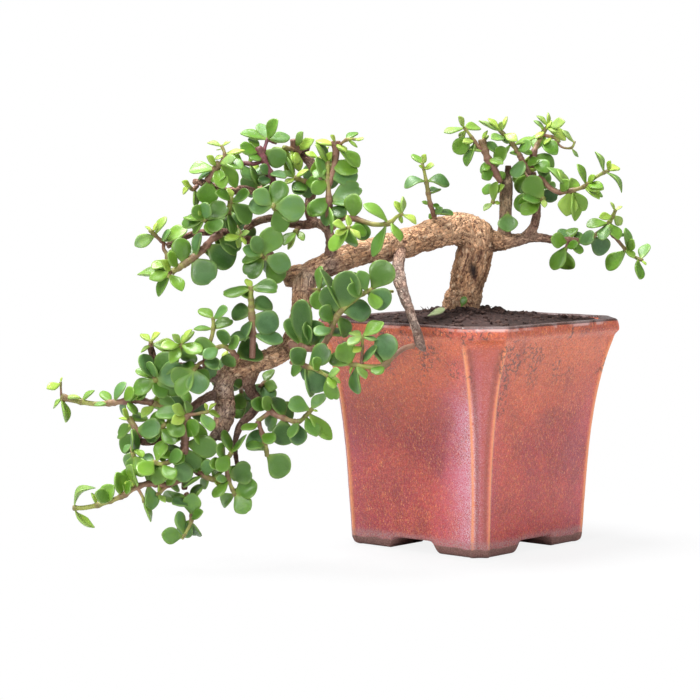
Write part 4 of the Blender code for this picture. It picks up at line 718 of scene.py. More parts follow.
def make_crumbs(finish):
    """One mesh of many small lumps, each a squashed and dented ball, and a few thin fibres."""
    rng = np.random.default_rng(7)
    ball = bmesh.new()
    bmesh.ops.create_icosphere(ball, subdivisions=2, radius=1)
    shape = np.array([tuple(v.co) for v in ball.verts])
    sides = [tuple(v.index for v in f.verts) for f in ball.faces]
    ball.free()
    edge = np.array(soil_ring(SOIL_EDGE, GAP + 2.5))
    points, faces, tone = [], [], []
    for number in range(CRUMBS):
        corner = edge[rng.integers(len(edge))]
        share = 0.02 + 0.85 * rng.random() ** 1.3 if number % 4 else 0.66 + 0.18 * rng.random()
        x, y = towards_root(*corner, share)
        size = 0.45 + 1.4 * rng.random() ** 3
        stretch = np.array([1 + rng.random(), 0.7 + 0.6 * rng.random(), 0.6 + 0.4 * rng.random()])
        fibre = number % FIBRE_EVERY == 0
        if fibre:
            size, stretch = 0.28, np.array([9 + 8 * rng.random(), 0.8, 0.8])
        turn = Matrix.Rotation(rng.random() * math.tau, 3, "Z")
        turn = turn @ Matrix.Rotation(rng.normal() * 0.35, 3, "Y")
        dents = np.array([1 + 0.35 * noise.noise(tuple(p * 1.7 + number)) for p in shape])
        lump = (shape * dents[:, None] * stretch * size) @ np.array(turn).T
        lump += np.array([x, y, soil_level(x, y, share) + 0.25 * size])
        start = len(points)
        points += lump.tolist()
        faces += [tuple(start + i for i in side) for side in sides]
        tone += [1.4 if fibre else rng.random()] * len(shape)
    piece_from("soil_crumbs", points, faces, [finish], "potting_mix", ["soil"], values={"tone": tone})
    print("crumbs", len(faces), "faces")


# %% [markdown]
# Damp soil is nearly black, its lumps dry to brown on top, and grains of grit are paler. Crumbs carry a
# tone of their own, so each one stands out from the bed.

# %% Soil material
def make_soil_finish():
    made, n, shader = new_material("dark_potting_soil")
    place = n.place()
    lumps = n.noise(place, 420.0, detail=6.0, roughness=0.7)
    damp = clouds(n, place, 30.0, 0.35, 0.65)
    grit = flecks(n, place, 900.0, 0.2)
    dark = n.mix(damp, (0.016, 0.009, 0.008), (0.042, 0.024, 0.022))
    colour = n.mix(n.between(lumps, 0.45, 0.75), dark, (0.10, 0.056, 0.046))
    colour = n.over(colour, grit["Mask"], 0.3, (0.24, 0.17, 0.15))
    colour = n.over(colour, n.attribute("tone"), 0.28, (0.17, 0.10, 0.08))
    height = n.total(lumps, n.product(grit["Height"], 0.4))
    finish_shader(n, shader, {"Base Color": colour, "Normal": n.bump(height, 0.0012, 0.9)},
                  {"Roughness": 0.95, "Specular IOR Level": 0.25})
    return made


SOIL_FINISH = make_soil_finish()
make_soil(SOIL_FINISH)
make_crumbs(SOIL_FINISH)

# %% [markdown]
# ## The plant's plan
#
# The tree is described as a grower sees it from the front. Limbs are lists of points with a radius, and
# each leafy shoot has its stems and, for each leaf, where it leaves the stem and where its tip shows.
# The same lists shaped the solids, so the wood and leaves made here fall in the same places.

# %% Limbs, each point as x, y, z and radius in millimetres
def read_rows(text):
    return [tuple(float(word) for word in row.split()) for row in text.split(",")]


def read_plan(text):
    """Each block has a name, then its stems after = signs and, on a shoot, its leaves after a colon."""
    plan = {}
    for block in text.strip().split("\n\n"):
        growth, _, leaves = block.partition(":")
        name, *stems = growth.split("=")
        plan[name.strip()] = ([read_rows(stem) for stem in stems], read_rows(leaves) if leaves else [])
    return plan


LIMBS = {name: stems[0] for name, (stems, _) in read_plan("""
trunk
= -4.5 0 131 15, -4.5 0 141 14.2, -4 0 148 12.4, -1.5 0 158 11, 1 0 168 10.8, 3.5 0 178 11.2, 5 0 187 12.2,
3 -1 195 12.2, 1.8 -2 199.6 8.6

main
= 5 0 192 11.6, -6 -4 196.7 10.5, -16 -12 195.2 9, -28 -24 192.2 8.9, -40 -38 188.8 8.8, -52 -50 186 7.9,
-64 -58 184.6 7.4, -76 -66 181 7.4, -88 -73 176.5 7.5, -99 -79 170.4 7.1, -101.5 -84 160 6.4,
-103 -88 148 5.8, -106 -91 137 5.6, -112 -93 128 5.6, -121 -94 122.8 6, -132 -95 118.5 6, -143 -96 115.5 5.8,
-148 -96 108 5.8, -147.5 -96 99 6.2, -147.5 -96 90 6.4, -149.5 -97 82 5, -151.5 -98 75 2.4

knob
= -99 -79 171.5 6.5, -107 -80 170.5 6.4, -113 -80 169 5

thin
= -131 -95 117 5, -133.5 -95 108 4, -131 -95 102 3.2, -127.5 -94 97 2.9, -131 -94 91 2.6, -137 -95 85 2.4,
-140.5 -95 78 2, -141.5 -95 69 1.7, -140 -95 58 1.3

front_twig
= -43 -42 188 3.6, -44 -50 181 3.7, -44.8 -58 174 3.9, -43.8 -65 167 3.9, -41.5 -70 159 3.2,
-38.5 -74 151 2.9, -36 -77 143.5 2.9, -33.5 -79 136 3, -32 -80 130 3.2, -29.5 -80 127 1.6

right
= 10 0 190.5 8, 20 1 188.3 5.8, 30 1 189.5 4.2, 38 1 191 3.3, 46 0 191 2.8, 54 0 189.5 2.3

stub
= 22 2 190 4, 23.3 3 200 4.1, 23.8 4 214 4.2, 24.2 4 227 3.9, 25 4 229 2.4, 25.2 4 236 2.1

riser
= 36 1 191.5 3.6, 41.2 1 198 3, 43 1 208 2.7, 42 1 216 2.5, 41 1 225 2.2, 40.5 1 232 2

crown_low
= -86 -72 180 3.6, -85 -75 190 3.1, -86.5 -77 197 2.8, -92 -79 202 2.8, -101 -80 201 2.7, -109 -81 202 2.6,
-120 -83 205 2.5, -131 -85 202 2.4, -135.5 -86 198 2.2

crown_mid
= -95 -79 201.5 2.9, -98 -78 211 2.9, -96 -77 221 2.8, -93.5 -77 230 2.9, -97 -78 238 3.1, -101 -79 243 3.3,
-98.5 -79 250.5 2.6

crown_left
= -109 -81 202 2.5, -113 -82 212 2.6, -125 -84 218.5 2.5, -136 -86 222 2.5, -146 -87 221 2.3,
-155 -88 224 2.2, -160 -89 226 2.1, -166 -90 226.5 2

west
= -110 -80 170 4, -119 -82 181 3, -128 -84 189.5 2.7, -137 -87 193.5 2.5, -147 -89 197 2.3, -158 -91 197 2.1,
-166 -93 196 1.9, -174 -95 192.5 1.8, -181 -97 189 2

low_west
= -149 -96 112 4.5, -157 -97 113 3, -166 -98 118 2.6, -176 -99 118 2.3, -185 -100 113 2.2, -188 -100 121 2,
-191 -100 131 2.2

low_mid
= -148 -96 103 4, -158 -98 100 2.6, -167 -99 94 2.3, -176 -100 84 2.2, -184 -101 77 2.3, -193 -101 74 2.4,
-205 -101 77 1.6

low_down
= -149 -97 84 3.6, -156 -99 74 2.4, -163 -100 64 2.2, -170 -101 56 2, -171 -101 46 1.9
""").items()}

# %% [markdown]
# In the list of shoots, a row of a leaf has x and z of its node and then x and z of its tip. Where they
# aren't the usual ones, it also has the share of the blade's width that shows from the front, and how
# far the blade arches.

# %% Shoots
SHOOTS = read_plan("""
saddle
= -21 -17 200 1.5, -22 -20 206 1.4, -24.5 -23 213 1.4, -26.5 -24 224 1.3, -28.5 -25 234 0.8, -29.5 -25 238 0.6
: -22 206 -17 210, -22 206 -25.5 204, -23 207 -10 206.5 0.25, -24 212 -29.5 214 0.45, -24 212 -18.5 211 0.45,
-26.5 226 -40.5 223.5 0.35 0.16, -26.5 226 -12.5 225 0.35 0.16, -28.5 234 -22.5 236.5 0.6,
-28.5 234 -31.5 236 0.6, -29 237 -35 243 0.6, -29 237 -27 243 0.7, -25 219 -19 222 0.6

east_reach
= -84 -80 199 1.6, -78 -82 205 1.6, -70 -83 204.5 1.5, -60 -84 201.5 1.5, -51 -84 202 1.3, -46 -84 206 1,
-42.5 -84 207.5 0.8
: -51 202 -66 213 0.35 0.1, -52 200 -62 183 0.4 -0.06, -48 201 -43.5 192 0.6, -43 207 -42 218 0.4,
-43 207 -48 215 0.35, -43 207 -34.5 201.5 0.45 0.1, -43 206 -43.5 202 0.7, -72 205 -71 219, -70 204 -65 192

east_rise
= -87 -80 204 1.8, -86 -84 213 1.7, -86.5 -86 222 1.6, -87 -87 230 1.4, -86.5 -87 239 1.1
= -86.5 -86 224 1.8, -83.5 -85 234 1.9, -82 -85 243 2.2, -82 -85 250.5 2.1
= -82 -85 246 0.9, -76 -85 251 0.9, -70 -85 251.5 0.7
= -86.5 -86.8 235 1, -90 -85 239 0.9, -92.5 -84 240.5 0.8
: -87 227 -96 221, -86.5 230 -69 230, -86.5 238 -69 232, -87 237 -93 250 0.6, -87 236 -95 229 0.7,
-86.5 239 -85 244 0.6, -86 215 -67 224 0.8, -86 214 -69 217 0.5, -86 214 -99 208, -86 211 -84 202,
-85 212 -83 197 0.5, -82 248 -94 250.5 0.35, -81 247 -68 235.5 0.5, -82 250 -85 254 0.6,
-76 251 -70 256.5 0.6, -71 251.5 -65.5 251.5 0.6, -75 251 -69 247 0.4, -85 211 -76 207 0.9,
-82 249 -76 244 0.6, -92.5 240 -94 228.5 0.8, -92.5 240 -86 247 0.5, -92 240 -100 244 0.5,
-90.8 226.4 -94.3 240.5 0.55, -84.9 217.6 -96.7 207.5 0.9, -82.6 212.2 -88.5 201 0.8,
-86 237.5 -93.7 248.7 0.6

east_low
= -84 -80.5 193.5 1.3, -79.5 -89 196.5 1.2, -74 -94 200 1
: -74 200 -85 186 0.6, -74 199 -72 188 0.8, -74 201 -67.5 193.5 0.4, -75 201 -64 197 0.9, -76 200 -83 203 0.6,
-76 200 -82 195 0.6, -74 201 -75 207 0.6

crown_face
= -112 -85 205 1.6, -116 -92 209 1.5, -119 -98 213 1.3
: -119 213 -133 212, -119 213 -113 227, -118 213 -100 211 1.3, -118 211 -112.5 197 1.05, -119 214 -130 221,
-117 210 -103 205

crown_sprout
= -103 -82 243 2.2, -106 -82 246 2.4, -107 -82 251.5 2.2
= -105 -83 245 1, -113 -84 246.5 1.4
: -105 247 -102 256 0.6, -104 245 -95 251.5 0.45, -105 244 -105 237 0.7, -111 246 -107 230 0.5,
-112 246 -111 229 0.6, -109 246 -103 233 0.6, -112 246 -121 241

purple
= -114 -85 215 2.5, -119 -86 226 2.3, -123 -87 236 2.1, -128 -87 247 2
= -125 -87 243 1.1, -122 -87 252 0.9
= -122 -87 251 0.8, -117 -87 249 0.7
= -124.2 -87 239.5 1.2, -130 -84 237 1.2, -137 -81 237.5 1.1, -142 -80 236 0.9
: -122 252 -138 255.5 0.35, -122 252 -127 261 0.9, -122 252 -117 263 0.7, -122 252 -109 253.5 0.8,
-119 250 -113 250 0.4, -127 244 -139 246.5 0.7, -128 245 -132.5 251.5 0.6, -126 240 -133 241 0.6,
-121 232 -112 230 0.6, -119 226 -129 219, -120 229 -127 226 0.7, -122 244 -111.5 238 1, -121 231 -126 236 0.7,
-137 238 -143.5 243 0.6, -134 237.5 -128 244 0.5, -133 237 -126.5 224 0.4, -142 236 -147.5 227 0.8,
-138 237 -132 227 0.8, -141 236 -148 237 0.6, -121 232 -130 232 0.6

crown_gap
= -96 -81 224 1.6, -101 -86 227 1.4, -107 -88 229 1.2
: -98 226 -107 220, -107 229 -98 234 0.5, -106 229 -113 233 0.5, -104 228 -96 218, -107 229 -112 225 0.8,
-100 227 -92 226, -108.4 227.6 -111.9 242.8 0.45, -96.7 227 -107.3 221.7 0.85

nw_tip
= -157 -91 227 1.9, -153 -92 233 1.8, -150 -93 238 1.8
= -150.5 -93 236 1, -147 -94 242 0.9, -149 -94 248 0.7
: -152 236 -158 241.5 0.6, -147 243 -135 244 0.4, -147 242 -153 240 0.5, -149 248 -157 250.5 0.5,
-149 248 -144 250.5 0.5, -148 246 -152 245 0.5, -150 237 -139 224 0.7, -148 240 -137 235 0.7,
-153 235 -168 233 0.45, -154 233 -163 229.5 0.7, -152 234 -148 224, -156 228 -158 213 1.1,
-157 228 -147 230 0.8, -151 237 -141 241 0.6

nw_end
= -163 -91 224.5 1.2, -166 -93 222 1, -168 -94 224.5 0.8
: -164 223 -164 211 0.5, -168 224 -172 219.5 0.6, -166 223 -172 227 0.6

nw_face
= -151 -92 199 1.5, -155 -97 202 1.4, -159 -102 205 1.2
: -159 206 -165 212, -158 206 -145 213 0.7, -158 204 -148 199 0.9, -159 204 -172 203 0.7,
-160 207 -171 206 0.3, -158 203 -155 196 0.8, -160 203 -166 198.5 0.8, -159 206 -157 214 0.9,
-157.1 205 -161.8 213.1 0.9

pink_stub
= -139 -89 196 1.4, -145 -93 206 1.5, -143 -94 217 1.5
: -143.5 216 -151.5 221 0.6, -143 216 -145 223 0.6, -143 215 -133 220 0.6, -142.5 215 -132 202.5 0.6,
-144.5 208 -144 197 0.7, -145 207 -151 213 0.8, -144 210 -134 211 0.8, -144.7 208.3 -142.4 196 0.55

yellow_bud
= -135.5 -90 194.5 1.1, -138 -98 195 1
: -139 195 -147 193 0.6, -139 196 -143 200 0.6, -138 195 -134.5 190.5 0.6, -139 195 -139 188 0.7,
-138 196 -133 198 0.7

red_reach
= -149 -92 195.5 1.8, -154 -95 193.5 1.8, -158 -97 189 1.8, -163 -99 184 1.8, -170 -101 179 1.8,
-178 -102 174 1.7
= -178 -102 175 0.9, -180 -103 171 0.8
: -151 195 -139 185 0.8, -157 189 -142 178 1.2, -166 182 -154 168 1.2, -160 187 -152 183 0.7,
-171 179 -172.5 194, -165 183 -161 197 0.6, -169 180 -163 190 0.8, -179 173 -171.5 163.5 0.7,
-179 173 -186.5 160 0.6, -178 175 -189 178 0.7, -178 174 -183 181 0.7, -180 173 -198 173 0.45,
-179 174 -191 170 0.8, -174 177 -180 185 0.7, -153 193 -147 187 0.8

far_west
= -182.5 -99 191 1.1, -186 -100 194 1.1, -190.5 -101 198.5 1
= -182.5 -99.2 191 1.1, -182.5 -101 187.5 1.1, -180.5 -101.5 184 1.2, -180.5 -101 179 1.1
: -188 195 -199.5 190 0.9, -187 196 -182 207 0.4, -184 192 -169 199 0.7, -190 198 -193 201 0.6,
-189 197 -186 203 0.5, -180.5 181 -189 176 0.8, -180.5 183 -174 187 0.8, -184 192 -179 198 0.7

knob_leaves
= -120.5 -87 179 1.5, -124 -94 182.5 1.4
= -124 -93 182 1, -126 -96 184 0.9
: -124 184 -117 200 1.2, -125 183 -137.5 181.5 0.7, -124 182 -108.5 177 1.1, -124 181 -120.5 171 0.8,
-125 181 -135 171 0.9, -125 184 -130 194 0.9, -122 181 -128 176 0.8, -123 180 -114 168 0.9,
-125 184 -136 188 0.7

inner_east
= -104 -82 199 1.3, -106 -88 197 1.2
: -105 198 -101 192, -106 197 -110 186.5 0.5, -106 198 -113 190 0.7, -108.4 198.8 -100.8 192.3 0.6

west_mast
= -131 -101 124 1.9, -130.5 -103 136 1.8, -131 -103 148 1.7, -131.5 -103 158 1.5, -131.5 -103 166 1.2
: -131.5 164 -148.5 162 0.5, -131.5 164 -134 170.5 0.8, -131.5 165 -115.5 164.5 0.6, -131 154 -119 156.5 0.8,
-131 148 -115.5 142 1.1, -131 147 -136.5 134 0.45, -131 150 -143 151 0.9, -131 138 -113 132.5 0.45,
-131 137 -144.5 135 0.5, -131 158 -139 166 0.7

mast_foot
= -140 -101 124 1.5, -143 -104 128 1.4, -147 -106 131 1.2, -152 -107 130 1
: -140 124 -126 130 1.2, -142 127 -146.5 118.5 1.1, -147 131 -147 141, -151 130 -165 131.5 0.8,
-150 130 -159 124 0.8, -145 130 -138 135 0.8

gate
= -159 -100 117.5 1.4, -158 -104 126 1.3, -154 -105 138 1.2, -153.5 -105 148 0.9
= -158.2 -102.8 122 1.2, -162 -105.5 120.5 1.1, -165 -108 116.5 1
: -154 141 -165 141.5 0.35, -153 147 -161 153 0.6, -153 147 -146 153 0.6, -154 141 -143 147 0.7,
-158 125 -152 118 0.9, -158 127 -168 131 0.5, -158 121 -154 112 0.9, -165 117 -161.5 103 1.2,
-165 116.5 -178 111 1.1, -164.5 117 -156 110 0.7, -165 116.5 -174 102 0.9, -164 118 -172 121 0.7

west_gable
= -176 -103 121 1.4, -174 -106 127 1.3, -172 -107 133 1.1
: -172 133 -177 138 0.8, -172 132 -165 140 0.6, -173 131 -178 122 1, -172 130 -164 121 1,
-173 132 -184 131 0.6, -172 132 -160 128 0.7, -174 128 -180 116 0.9, -169.3 132.9 -165.8 141 0.5

west_post
= -188 -103 112 1.4, -187 -107 111 1.2
: -187 112 -200.5 103.5 0.9, -187 112 -178 127 0.9, -189 111 -196 125.5 0.6, -186 111 -170 117 1.1,
-186 110 -172 105 1, -188 111 -183 101 0.9, -188 112 -199 117.5 0.5, -187 113 -190 121 0.7

post_top
= -190 -103 131.5 1.2, -190 -105 134 1
: -190 132 -175.5 130 0.8, -190 134 -196 138 0.6, -190 134 -186 139 0.6, -190 132 -196 127 0.4,
-188.9 131.4 -174.9 130.2 0.5

west_reach
= -189 -103 97 1.7, -197 -104 99 1.7, -206 -105 98.5 1.6, -214 -105 97.5 1.6, -223 -105 97 1.5,
-232 -105 98.5 1.6, -240 -106 100.5 2, -243 -106 101 1.6
= -242.5 -106 102 0.7, -242.8 -106 110 0.6
= -178 -101 90 1.8, -189 -103 97 1.7
: -241 101 -231 101.5 0.45, -231 99 -223.5 105.5 0.4, -215 98.5 -223.5 96.5 0.3, -214 98 -218.5 104.5 0.6,
-212 101 -205.5 110 0.45 0.08, -206 99 -201 106 0.8, -243 100.5 -247.5 94.5 0.38,
-242.5 99.5 -239.4 86.2 0.32, -242.8 109 -251 106 0.8, -242.8 110 -242 113 0.5, -204 99 -198 103 0.7,
-205 98 -207.5 91 0.6, -203 98 -200 91 0.7, -199 99 -192.5 105 0.6, -194 98 -176 95 0.6, -196 99 -203 103 0.5,
-190 97 -180 102 0.9, -188 96 -196 89 0.8, -184 93 -175 88 0.9

west_tuft
= -196 -103 77 1.4, -199 -105 82 1.4, -203 -106 89 1.5
: -199 82 -184 82 0.9, -201 84 -210 78.5 0.6, -200 82 -201 70 0.7, -202 87 -193 91 0.7, -202 88 -209 89 0.5,
-203 89 -207 94 0.6, -201 86 -205 82 0.6, -202 76.2 -208 69.2 0.6

west_under
= -200.5 -104 73.5 1.3, -201 -107 70 1.2, -200 -108 66 1
: -201 74 -207 69 0.4, -200 69 -205 60 0.9, -200 67 -193 55 1, -200 67 -202 54 0.9, -201 71 -195 66 0.8

yellow_post
= -171 -104 68 2.1, -170 -107 80 2, -169 -108 91.5 2
= -169 -108 90.5 1.1, -160 -109 92 1, -156 -109 93 0.8
= -170.6 -105 72 1.5, -175 -107 66 1.3, -183 -108 62 1.2, -189 -108.5 63.5 1
: -169.5 92 -178 86 0.9, -169 92 -168 99.5 0.7, -160 92 -155 81 0.8, -156 93 -149 91 0.6,
-157 93 -158.5 98 0.5, -157 93 -152 98 0.5, -169 90 -158.5 74 0.4, -170 74 -151 70.5 1.1,
-170.5 71 -165 57 1.2, -170 78 -181 77 0.9, -170 77 -163 87 0.9, -170.5 70 -187 67 0.5, -171 69 -177 61 0.9,
-169 92 -178 96 0.6, -183 62 -188 49.5 0.95, -183 62 -177 53 0.6, -182 62 -187 71 0.6, -180 63 -172.5 69 0.7,
-189 63 -197 56 0.8, -189 64 -197 67 0.6, -176 65 -168 52 0.8, -170.1 93.1 -187.6 92.5 0.5,
-186.5 64.4 -182.4 76.1 0.8, -175.5 65.4 -186.6 69.5 0.45

heart
= -150 -103 66 1.2, -145 -106 66 1.2, -143 -107 69 1.1
= -147 -105 65 1.3, -145 -106 53 1.2, -141 -106 43 1
: -144 67 -151 58 1, -143 69 -147 82 0.6, -143 69 -134 79 0.35, -144 55 -131 58 1.1, -141 43 -128.5 50 1.2,
-141 42 -133 33 1.1, -142 44 -149.5 38 0.9, -145 52 -154.5 43.5 0.8, -145 53 -152 53 0.8, -146 60 -137 54 0.9,
-146 62 -156 61 0.9, -142 47 -134 41 0.7, -147 64 -150.5 73 0.7

deep_mid
= -166 -103 58 1.5, -158 -105 54 1.4, -152 -106 52 1.2
: -158 54 -157 64 1, -154 53 -149 49 0.7, -160 55 -172 49 0.5, -156 53 -162 48 0.8, -163 56 -160 68 0.9,
-154 52 -149 57 0.8, -154 54 -148 62 0.8, -162 55 -167 62 0.7

tail
= -170 -103 44 1.5, -168 -105 40 1.4, -166.5 -106 31 1.2, -168 -107 25 1, -172.5 -107 17.5 0.8
: -166.5 31 -166 44.5 1.1, -167 40 -161 49.5 0.5, -169 42 -183.5 43 0.35, -167 29 -172.5 19 1,
-171 20 -174.5 34 0.3, -172 19 -183.5 20 1, -167 28 -163.5 19 0.8, -168 39 -178 38 0.6, -167 29 -161 34 0.7,
-165.8 42.1 -160.5 49.7 0.5

sw_reach
= -172.5 -103 52 1.5, -182 -104 49 1.6, -192 -105 50 1.6, -200 -106 47.5 1.5, -206 -106 43.5 1.5,
-213 -107 40.5 1.4, -222 -107 37.5 1.4, -230 -107 36 1.4, -236 -107 36 1.3
= -199 -106 49 1, -195 -107 42 0.9, -194.5 -107 39 0.8
= -180 -104 50 1.2, -187 -106 43 1
: -235.5 36.5 -223.5 48.5 0.2 0.25, -235.5 35.5 -222 26 0.2 -0.22, -221 38 -212 49.5 0.9, -222 38 -225 45 0.4,
-208 43 -210 57 0.7, -206 44 -202 51 0.7, -206 45 -204 59 0.45, -214 40 -222 45 0.6, -195 40 -189.5 28 0.35,
-192 50 -190 34 0.7, -187 43 -182 40 0.7, -186 44 -185 52 0.5, -192 50 -187 63 1.2, -182 49 -176 56 0.8,
-180 49 -174 46 0.8, -199 49 -203 60 0.9, -197 49 -206 51 0.5, -188 50 -180 60 0.9

north_west_low
= -186 -103 80 1.3, -184 -107 83 1.2, -181 -109 86 1
: -181 86 -171 80 0.9, -182 86 -190 90 0.8, -184 84 -176 74 0.9, -183 85 -193 77 0.9, -181 87 -178 97 0.8,
-183 84 -188 77 0.7, -182 86 -173 92 0.7

thin_fan
= -124 -96 96 1.5, -119 -98 91 1.5, -110 -99 87 1.4, -104 -99 86 1.3, -100 -99 89 1.2, -96 -99 93.5 1
= -128 -98 86 1.4, -125 -100 78 1.3, -123 -100 70 1.2, -122.5 -100 65.5 1
= -120 -98 92 1.3, -128 -98 86 1.4
: -97 93 -110 98 0.7, -97 94 -89 103 0.8, -100 89 -93 77.5 0.8, -98 91 -85 75 0.55, -96 93 -92.5 92 0.5,
-120 92 -125 100 0.9, -119 91 -106.5 92 1.2, -106 87 -104 72 0.9, -113 88 -113 72 1, -123 69 -133 79 1.2,
-122.5 66 -109.5 56 1.2, -112 89 -118 101 0.8, -127 85 -137 81 0.6, -122 93 -131 98 0.8, -116 90 -123 82 0.9,
-125 79 -118 74 0.8, -120 91 -114 99 0.8, -104 86 -109 77 0.8, -124 73 -134 70 0.7

thin_back
= -127 -91 106 1.2, -124 -87 108 1.1
: -126 109 -117 105 1.1, -125 109 -120 116 0.9, -124 108 -121 97 0.9, -125 108 -130 99 0.7

thin_side
= -136 -92 106 1.2, -138 -88 104 1.1, -137.5 -86 97 1
: -138 104 -141.5 113 1, -137.5 103 -133 94 1, -138 102 -141 92 0.9, -137.5 98 -131 88 0.9,
-137.5 97 -140 86 0.8, -138 104 -133 111 0.8

chain
= -109 -99 131.5 2, -103 -101 131 1.9, -97 -102 129 1.8, -90 -101 131 1.8, -86 -100 137 1.6,
-82.5 -99 146 1.5, -79 -98 151 1.4, -72 -96 157 1.3, -66 -94 161 1.2, -61 -91 163.5 1.1
= -61.5 -91 163.3 1, -54 -81 161.8 0.9, -48.3 -69 161 0.9
: -61.3 164.8 -50.8 179.5 1.2, -63 161 -50 155 1.1, -79 151 -73 174.5 1.25, -79 151 -61 151.5 0.9,
-80 150 -89 165 1, -64 163 -68 174 0.8, -72 157 -80 167 0.9, -84 141 -94 138 0.6, -83 146 -92 152 0.7,
-81 148 -75 136.5 0.6, -101 131 -102 158 0.9, -102 131 -109 147.5 0.8, -101 131 -97 142 0.7,
-99 130 -86 134.5 0.8, -84 142 -88 155 0.7, -66 161 -75 164 0.8, -86 137 -77 140 0.6, -79 152 -90 177 0.4,
-66 161 -74 173 0.5, -95 129.5 -96 146 0.9, -61 162 -58 152 0.8

twig_foot
= -36 -83 129.5 1.5, -42 -86 128 1.5, -48 -91 124 1.5, -54 -95 118.5 1.7, -62 -97 118 1.6, -70 -98 119 1.3,
-74 -98 119.5 1
= -67 -97.5 119 0.9, -66.5 -99 128 0.9, -66.5 -99 137 0.8
: -53 120 -52 137.5 1, -54 119 -58.5 130 0.6, -68 121 -58 130.5 0.5, -70 118 -70 102 0.4,
-74 119 -79 132.5 1.2, -72 119 -74 114 0.5, -66.5 137 -54 144.5 0.7, -66.5 136 -58 134 0.3,
-66.5 136 -75 131 0.8, -66.5 135 -74 140 0.7, -67 130 -72 127 0.7, -73 119 -86 124 0.9, -54 119 -60 113 0.6,
-70 119 -64 112 0.6

bough_fan
= -108 -100 121 1.5, -103 -104 120.5 1.4, -99 -106 119 1.2, -93 -107 117 1, -86 -107 113 0.9
: -100 119 -107.5 129 0.9, -99 119 -102 112 0.6, -98 119 -85.5 130.5 0.8, -98 118 -88 105 1.1,
-100 118 -96 101 0.5, -86 113 -83 106 0.8, -86 113 -83 99 0.8, -85 114 -80 117 0.8, -86 113 -79 110 0.5,
-101 119 -108 115 0.8, -92 116 -95 124 0.8

drop_leaf
= -97 -86 163 1.2, -92 -90 163 1.1
: -92 163 -90 177 0.4, -92 163 -87 171 0.7, -92 162 -93 152 0.8

burl_leaf
= 23.6 -2.4 206.8 1, 24.4 -5.2 206.4 0.9
: 24.4 206 24.8 194.6 1.3

stub_side
= 18 1 222 1.1, 16 -2 217 1.1, 15 -3 212 1
: 15 212 9.5 208.5 0.7, 16 212 20 213 0.8, 16 213 17 226 0.5, 18 222 9 221 0.8, 17 218 22 224 0.6

left_fork
= 20 -1 226 1.8, 17 -3 231 2, 12 -4 240 2.1, 8 -4 252.5 1.9
= 10.5 -4 243 1.2, 5 -5 249 1.1, 0 -5 256 0.9, -3.5 -5 260 0.7
: 16 233 8.5 228 1, 16 232 23 228 1, 14 237 9 233 0.9, 9 250 20 244.5 0.7, 1.5 253 -9.5 244.5 1,
3 250 -1.5 235.5 0.5, -3 259 7 260 0.7, -3 259 -15.5 257 0.4, -3 260 -6 266.5 0.7, -2 258 -6 251 0.8,
3 251 -4 250 0.7, 8 250 12 255 0.6, 12 240 21 238 0.7, 10 245 -1 247 0.5, 17.8 231.4 7.8 236.3 1,
14.6 234.5 23.3 246.9 0.55, 7.7 251.2 11.4 258 0.45

mid_fork
= 38.5 -2 230.5 1.5, 34 -3 238 1.5, 29 -4 247 1.4, 24 -5 253 1.2, 19 -5 258 1
: 18 258 6 263.5 0.42, 19 258 12 265.5 0.34, 20 257 20 263 0.6, 20 257 24 266.5 0.3, 21 255 30 252 0.8,
28 249 41 254 0.4, 27 250 15 234.5 0.7, 30 245 39 250 0.8, 26 250 20 252 0.7, 32 242 26 245 0.3,
33 240 30 228 0.8, 36 236 44 240 0.7, 23 254 14 252 0.6

riser_top
= 40.5 -1 235 1.9, 40.5 -1 243 1.7, 43.5 -1 250 1.4, 46.5 -1 256.5 1.2, 50 -1 261 0.8
= 46 -1 255 1.2, 54 -2 253 1, 56 -2 250.5 1.6
= 54 -2 252 0.8, 58 -2 247.5 0.7, 64 -3 247 0.7, 66 -3 251 0.6
: 40.5 244 32 246 0.9, 41 245 45 256 0.9, 45 252 55.5 243.5 0.9, 42 242 54 236 0.8, 48 258 41 264.5 0.4,
50 261 43 267.5 0.42, 51 259.5 49.8 269 0.36, 50 260 60.5 263 0.8, 49 259 56 257 0.7, 50 259 61 252 0.6,
65 251 58 258 0.4, 64 247 68 241 0.4, 48 257 42 253 0.7, 52 254 47 249 0.7, 47 256.5 44.5 262 0.5,
40.5 240 50 232 0.6, 43 249 35 252 0.7, 47 258 52 264 0.4

riser_leaves
= 44.5 -1 213 1.2, 47 -5 216 1.1
: 46 217 35.5 228.5 1, 46 215 28 211.5 0.8, 47 215 47.5 210 1, 46 215 31 211 0.9, 46 213 33 206 0.6,
45.5 213 34 215.5 0.6

riser_buds
= 38.5 3 227.5 1.2, 36.5 8 233 1.1
: 36 234 39 242 0.8, 36 233 29.5 224 1, 36 233 43 228 0.8, 37 231 31 219 0.8, 37 232 45 237 0.7

east_arm
= 43.5 -1 229 1.6, 47 -2 226 1.6, 51 -3 222 1.5, 56 -4 219.5 1.5, 62 -4 220 1.4, 68 -4 221.5 1.3,
73 -4 223.5 1.2, 78 -4 228 1.1, 84 -4 231.5 1, 87.5 -4 233 0.8
: 62 220 49.5 235.5 0.45 0.06, 62 220 68 228 1, 63 220 61 204.5 1.2, 64 220 73 208 1, 65 220 67 201.5 0.5,
73 224 67.5 237 0.45 0.05, 73 222 83.5 216.5 0.5, 74 224 83 223 0.7, 74 225 78 230 0.8,
84 232 79.5 245 0.27 0.05, 85 231.5 97 221 0.28 0.12, 87 233 94 236 0.7, 87 233 88 239 0.6, 57 220 62 227 0.8,
46 227 48 236 0.6, 73 223 83.5 222 0.9, 63 221 56 234 0.4, 71.8 223.3 81.9 215.9 0.6

east_branch
